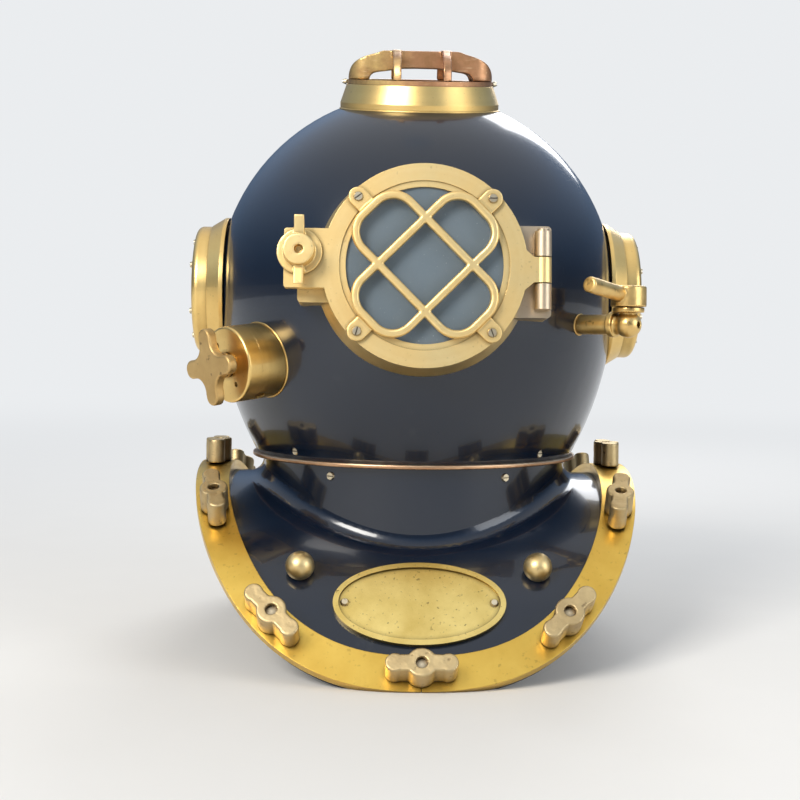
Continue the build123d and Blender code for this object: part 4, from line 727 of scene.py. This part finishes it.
# Reaches of the fittings' seats
seats = {"window": 54 * mm, "top": 64.5 * mm, "exhaust": 28.5 * mm, "spitcock": 7.6 * mm,
         "gooseneck": 21 * mm}
bead("right_port_braze", "right", seats["window"], beads["large"], rightBrass)
bead("left_port_braze", "left", seats["window"], beads["large"], leftBrass)
bead("top_port_braze", "top", seats["top"], beads["small"], topBrass)
bead("exhaust_braze", "exhaust", seats["exhaust"], beads["small"], exhaustBrass)
bead("spitcock_braze", "spitcock", seats["spitcock"], beads["small"], cockBrass)
for name in ("air", "telephone"):
    bead(f"{name}_gooseneck_braze", name, seats["gooseneck"], beads["small"], cockBrass)


# Threads on the goosenecks' mouths
thread = {"radius": 12.75 * mm, "pitch": 2.2 * mm, "turns": 6.2, "wire": 0.55 * mm}


def mouthThread(name):
    mount = [row for row in record["mounts"] if row["name"] == f"{name}_thread"][0]
    axis = Vector(mount["axis"])
    length = thread["pitch"] * thread["turns"]
    turn = axis.to_track_quat("Z", "Y").to_matrix().to_4x4()
    move = Matrix.Translation(Vector(mount["pos_m"]) - axis * length / 2) @ turn
    piece = placed(name + "_work", bpy.data.meshes.new(name + "_work"))
    gooseThread.use(piece, material=cockBrass, **thread)
    plain = settle(piece, f"{name}_gooseneck_thread", move)
    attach(plain, "bonnet")


for name in ("air", "telephone"):
    mouthThread(name)
print("beads and threads done")

# Camera where the photograph was taken from: pixels of a picture 800 wide, and degrees
photo = {"width": 800, "focal": 1306, "axisColumn": 415, "eyeRow": 340, "roll": 0.75,
         "eye": Vector((-38 * mm, -1099 * mm, 240 * mm)), "sensor": 36.0}
camera = placed("camera", bpy.data.cameras.new("camera"))
camera.data.sensor_width = photo["sensor"]
camera.data.lens = photo["focal"] / photo["width"] * photo["sensor"]
camera.data.shift_x = (photo["width"] / 2 - photo["axisColumn"]) / photo["width"]
camera.data.shift_y = (photo["eyeRow"] - photo["width"] / 2) / photo["width"]
aim = Vector((-photo["eye"].x, -photo["eye"].y, 0))
turn = aim.to_track_quat("-Z", "Y").to_matrix().to_4x4()
roll = Matrix.Rotation(math.radians(photo["roll"]), 4, "Z")
camera.matrix_world = Matrix.Translation(photo["eye"]) @ turn @ roll
bpy.context.scene.camera = camera

# Studio: a pale floor that fades into the haze, a world for each kind of ray, three soft lamps
studio = {"span": 60.0, "light": 0.42, "lit": (0.93, 0.96, 1.0), "seen": 0.92,
          "haze": (0.90, 0.92, 0.94), "aim": Vector((0, 0, 0.2))}
ground = {"pale": (0.80, 0.795, 0.78), "shade": 0.97, "scale": 14.0, "rough": 0.75,
          "near": 0.4, "far": 4.5}


def paleFloor():
    r = Recipe("pale_floor")
    grain = r.noise(ground["scale"], detail=5.0)
    colour = r.mix(grain, tuple(c * ground["shade"] for c in ground["pale"]), ground["pale"])
    material = r.finish(Base_Color=colour, Roughness=ground["rough"])
    reach = r.axisReach((0, 0, 0), (0, 0, 1))[0]
    near = 1 - ((reach - ground["near"]) / (ground["far"] - ground["near"])).clamp()
    haze = r.make("ShaderNodeEmission", {}, {"Color": studio["haze"], "Strength": studio["seen"]})
    faded = r.make("ShaderNodeMixShader", {},
                   [1 - near * near * near, Wire(r, r.skin.outputs[0]), haze])
    r.link(faded, r.tree.nodes["Material Output"].inputs["Surface"])
    return material


floorMesh = bpy.data.meshes.new("floor")
half = studio["span"] / 2
corners = [(-half, -half, 0), (half, -half, 0), (half, half, 0), (-half, half, 0)]
floorMesh.from_pydata(corners, [], [(0, 1, 2, 3)])
floorMesh.materials.append(paleFloor())
floor = placed("floor", floorMesh)

# What glossy and clear surfaces see, from below (0) over level (0.5) to straight up (1)
sky = ((0.42, (0.40, 0.39, 0.37)), (0.50, (0.13, 0.13, 0.14)), (0.56, (0.09, 0.12, 0.18)),
       (0.64, (0.16, 0.23, 0.35)), (0.76, (0.40, 0.51, 0.70)), (1.0, (0.86, 0.92, 1.0)))


# Each kind of ray sees its own world: the camera the haze, glossy and clear surfaces the sky, and
# the rest an even light
def studioWorld():
    world = bpy.data.worlds.new("studio")
    world.use_nodes = True
    tree = world.node_tree
    tree.nodes.clear()

    def background(colour, strength=1.0):
        inputs = {"Color": colour, "Strength": strength}
        return addNode(tree, "ShaderNodeBackground", {}, inputs)

    def either(share, first, second):
        return addNode(tree, "ShaderNodeMixShader", {}, {0: share, 1: first, 2: second})

    direction = addNode(tree, "ShaderNodeTexCoord", {}, {}, "Generated")
    upward = addNode(tree, "ShaderNodeSeparateXYZ", {}, {0: direction}, "Z")
    height = addNode(tree, "ShaderNodeMath", {"operation": "MULTIPLY_ADD"},
                     {0: upward, 1: 0.5, 2: 0.5})
    ramp = tree.nodes.new("ShaderNodeValToRGB")
    for position, colour in sky:
        ramp.color_ramp.elements.new(position).color = (*colour, 1.0)
    ramp.color_ramp.elements.remove(ramp.color_ramp.elements[0])
    tree.links.new(height, ramp.inputs[0])
    rays = tree.nodes.new("ShaderNodeLightPath").outputs
    shiny = addNode(tree, "ShaderNodeMath", {"operation": "MAXIMUM"},
                    {0: rays["Is Glossy Ray"], 1: rays["Is Transmission Ray"]})
    even = background((*studio["lit"], 1.0), studio["light"])
    lighting = either(shiny, even, background(ramp.outputs["Color"]))
    haze = background((*studio["haze"], 1.0), studio["seen"])
    shown = either(rays["Is Camera Ray"], lighting, haze)
    addNode(tree, "ShaderNodeOutputWorld", {}, {"Surface": shown}, None)
    return world


bpy.context.scene.world = studioWorld()

lamps = {
    "key": {"place": (-1.3, -1.9, 1.5), "size": 1.0, "power": 62.0, "colour": (1.0, 0.96, 0.90)},
    "fill": {"place": (1.9, -1.4, 0.8), "size": 1.3, "power": 20.0, "colour": (0.94, 0.97, 1.0)},
    "back": {"place": (0.5, 1.9, 1.6), "size": 1.2, "power": 22.0, "colour": (1.0, 1.0, 1.0)},
}
for name, lamp in lamps.items():
    data = bpy.data.lights.new(name, "AREA")
    data.size = lamp["size"]
    data.energy = lamp["power"]
    data.color = lamp["colour"]
    light = placed(name, data)
    light.location = lamp["place"]
    inward = studio["aim"] - Vector(lamp["place"])
    light.rotation_euler = inward.to_track_quat("-Z", "Y").to_euler()
bpy.context.scene.view_settings.view_transform = "Standard"
print("studio done")
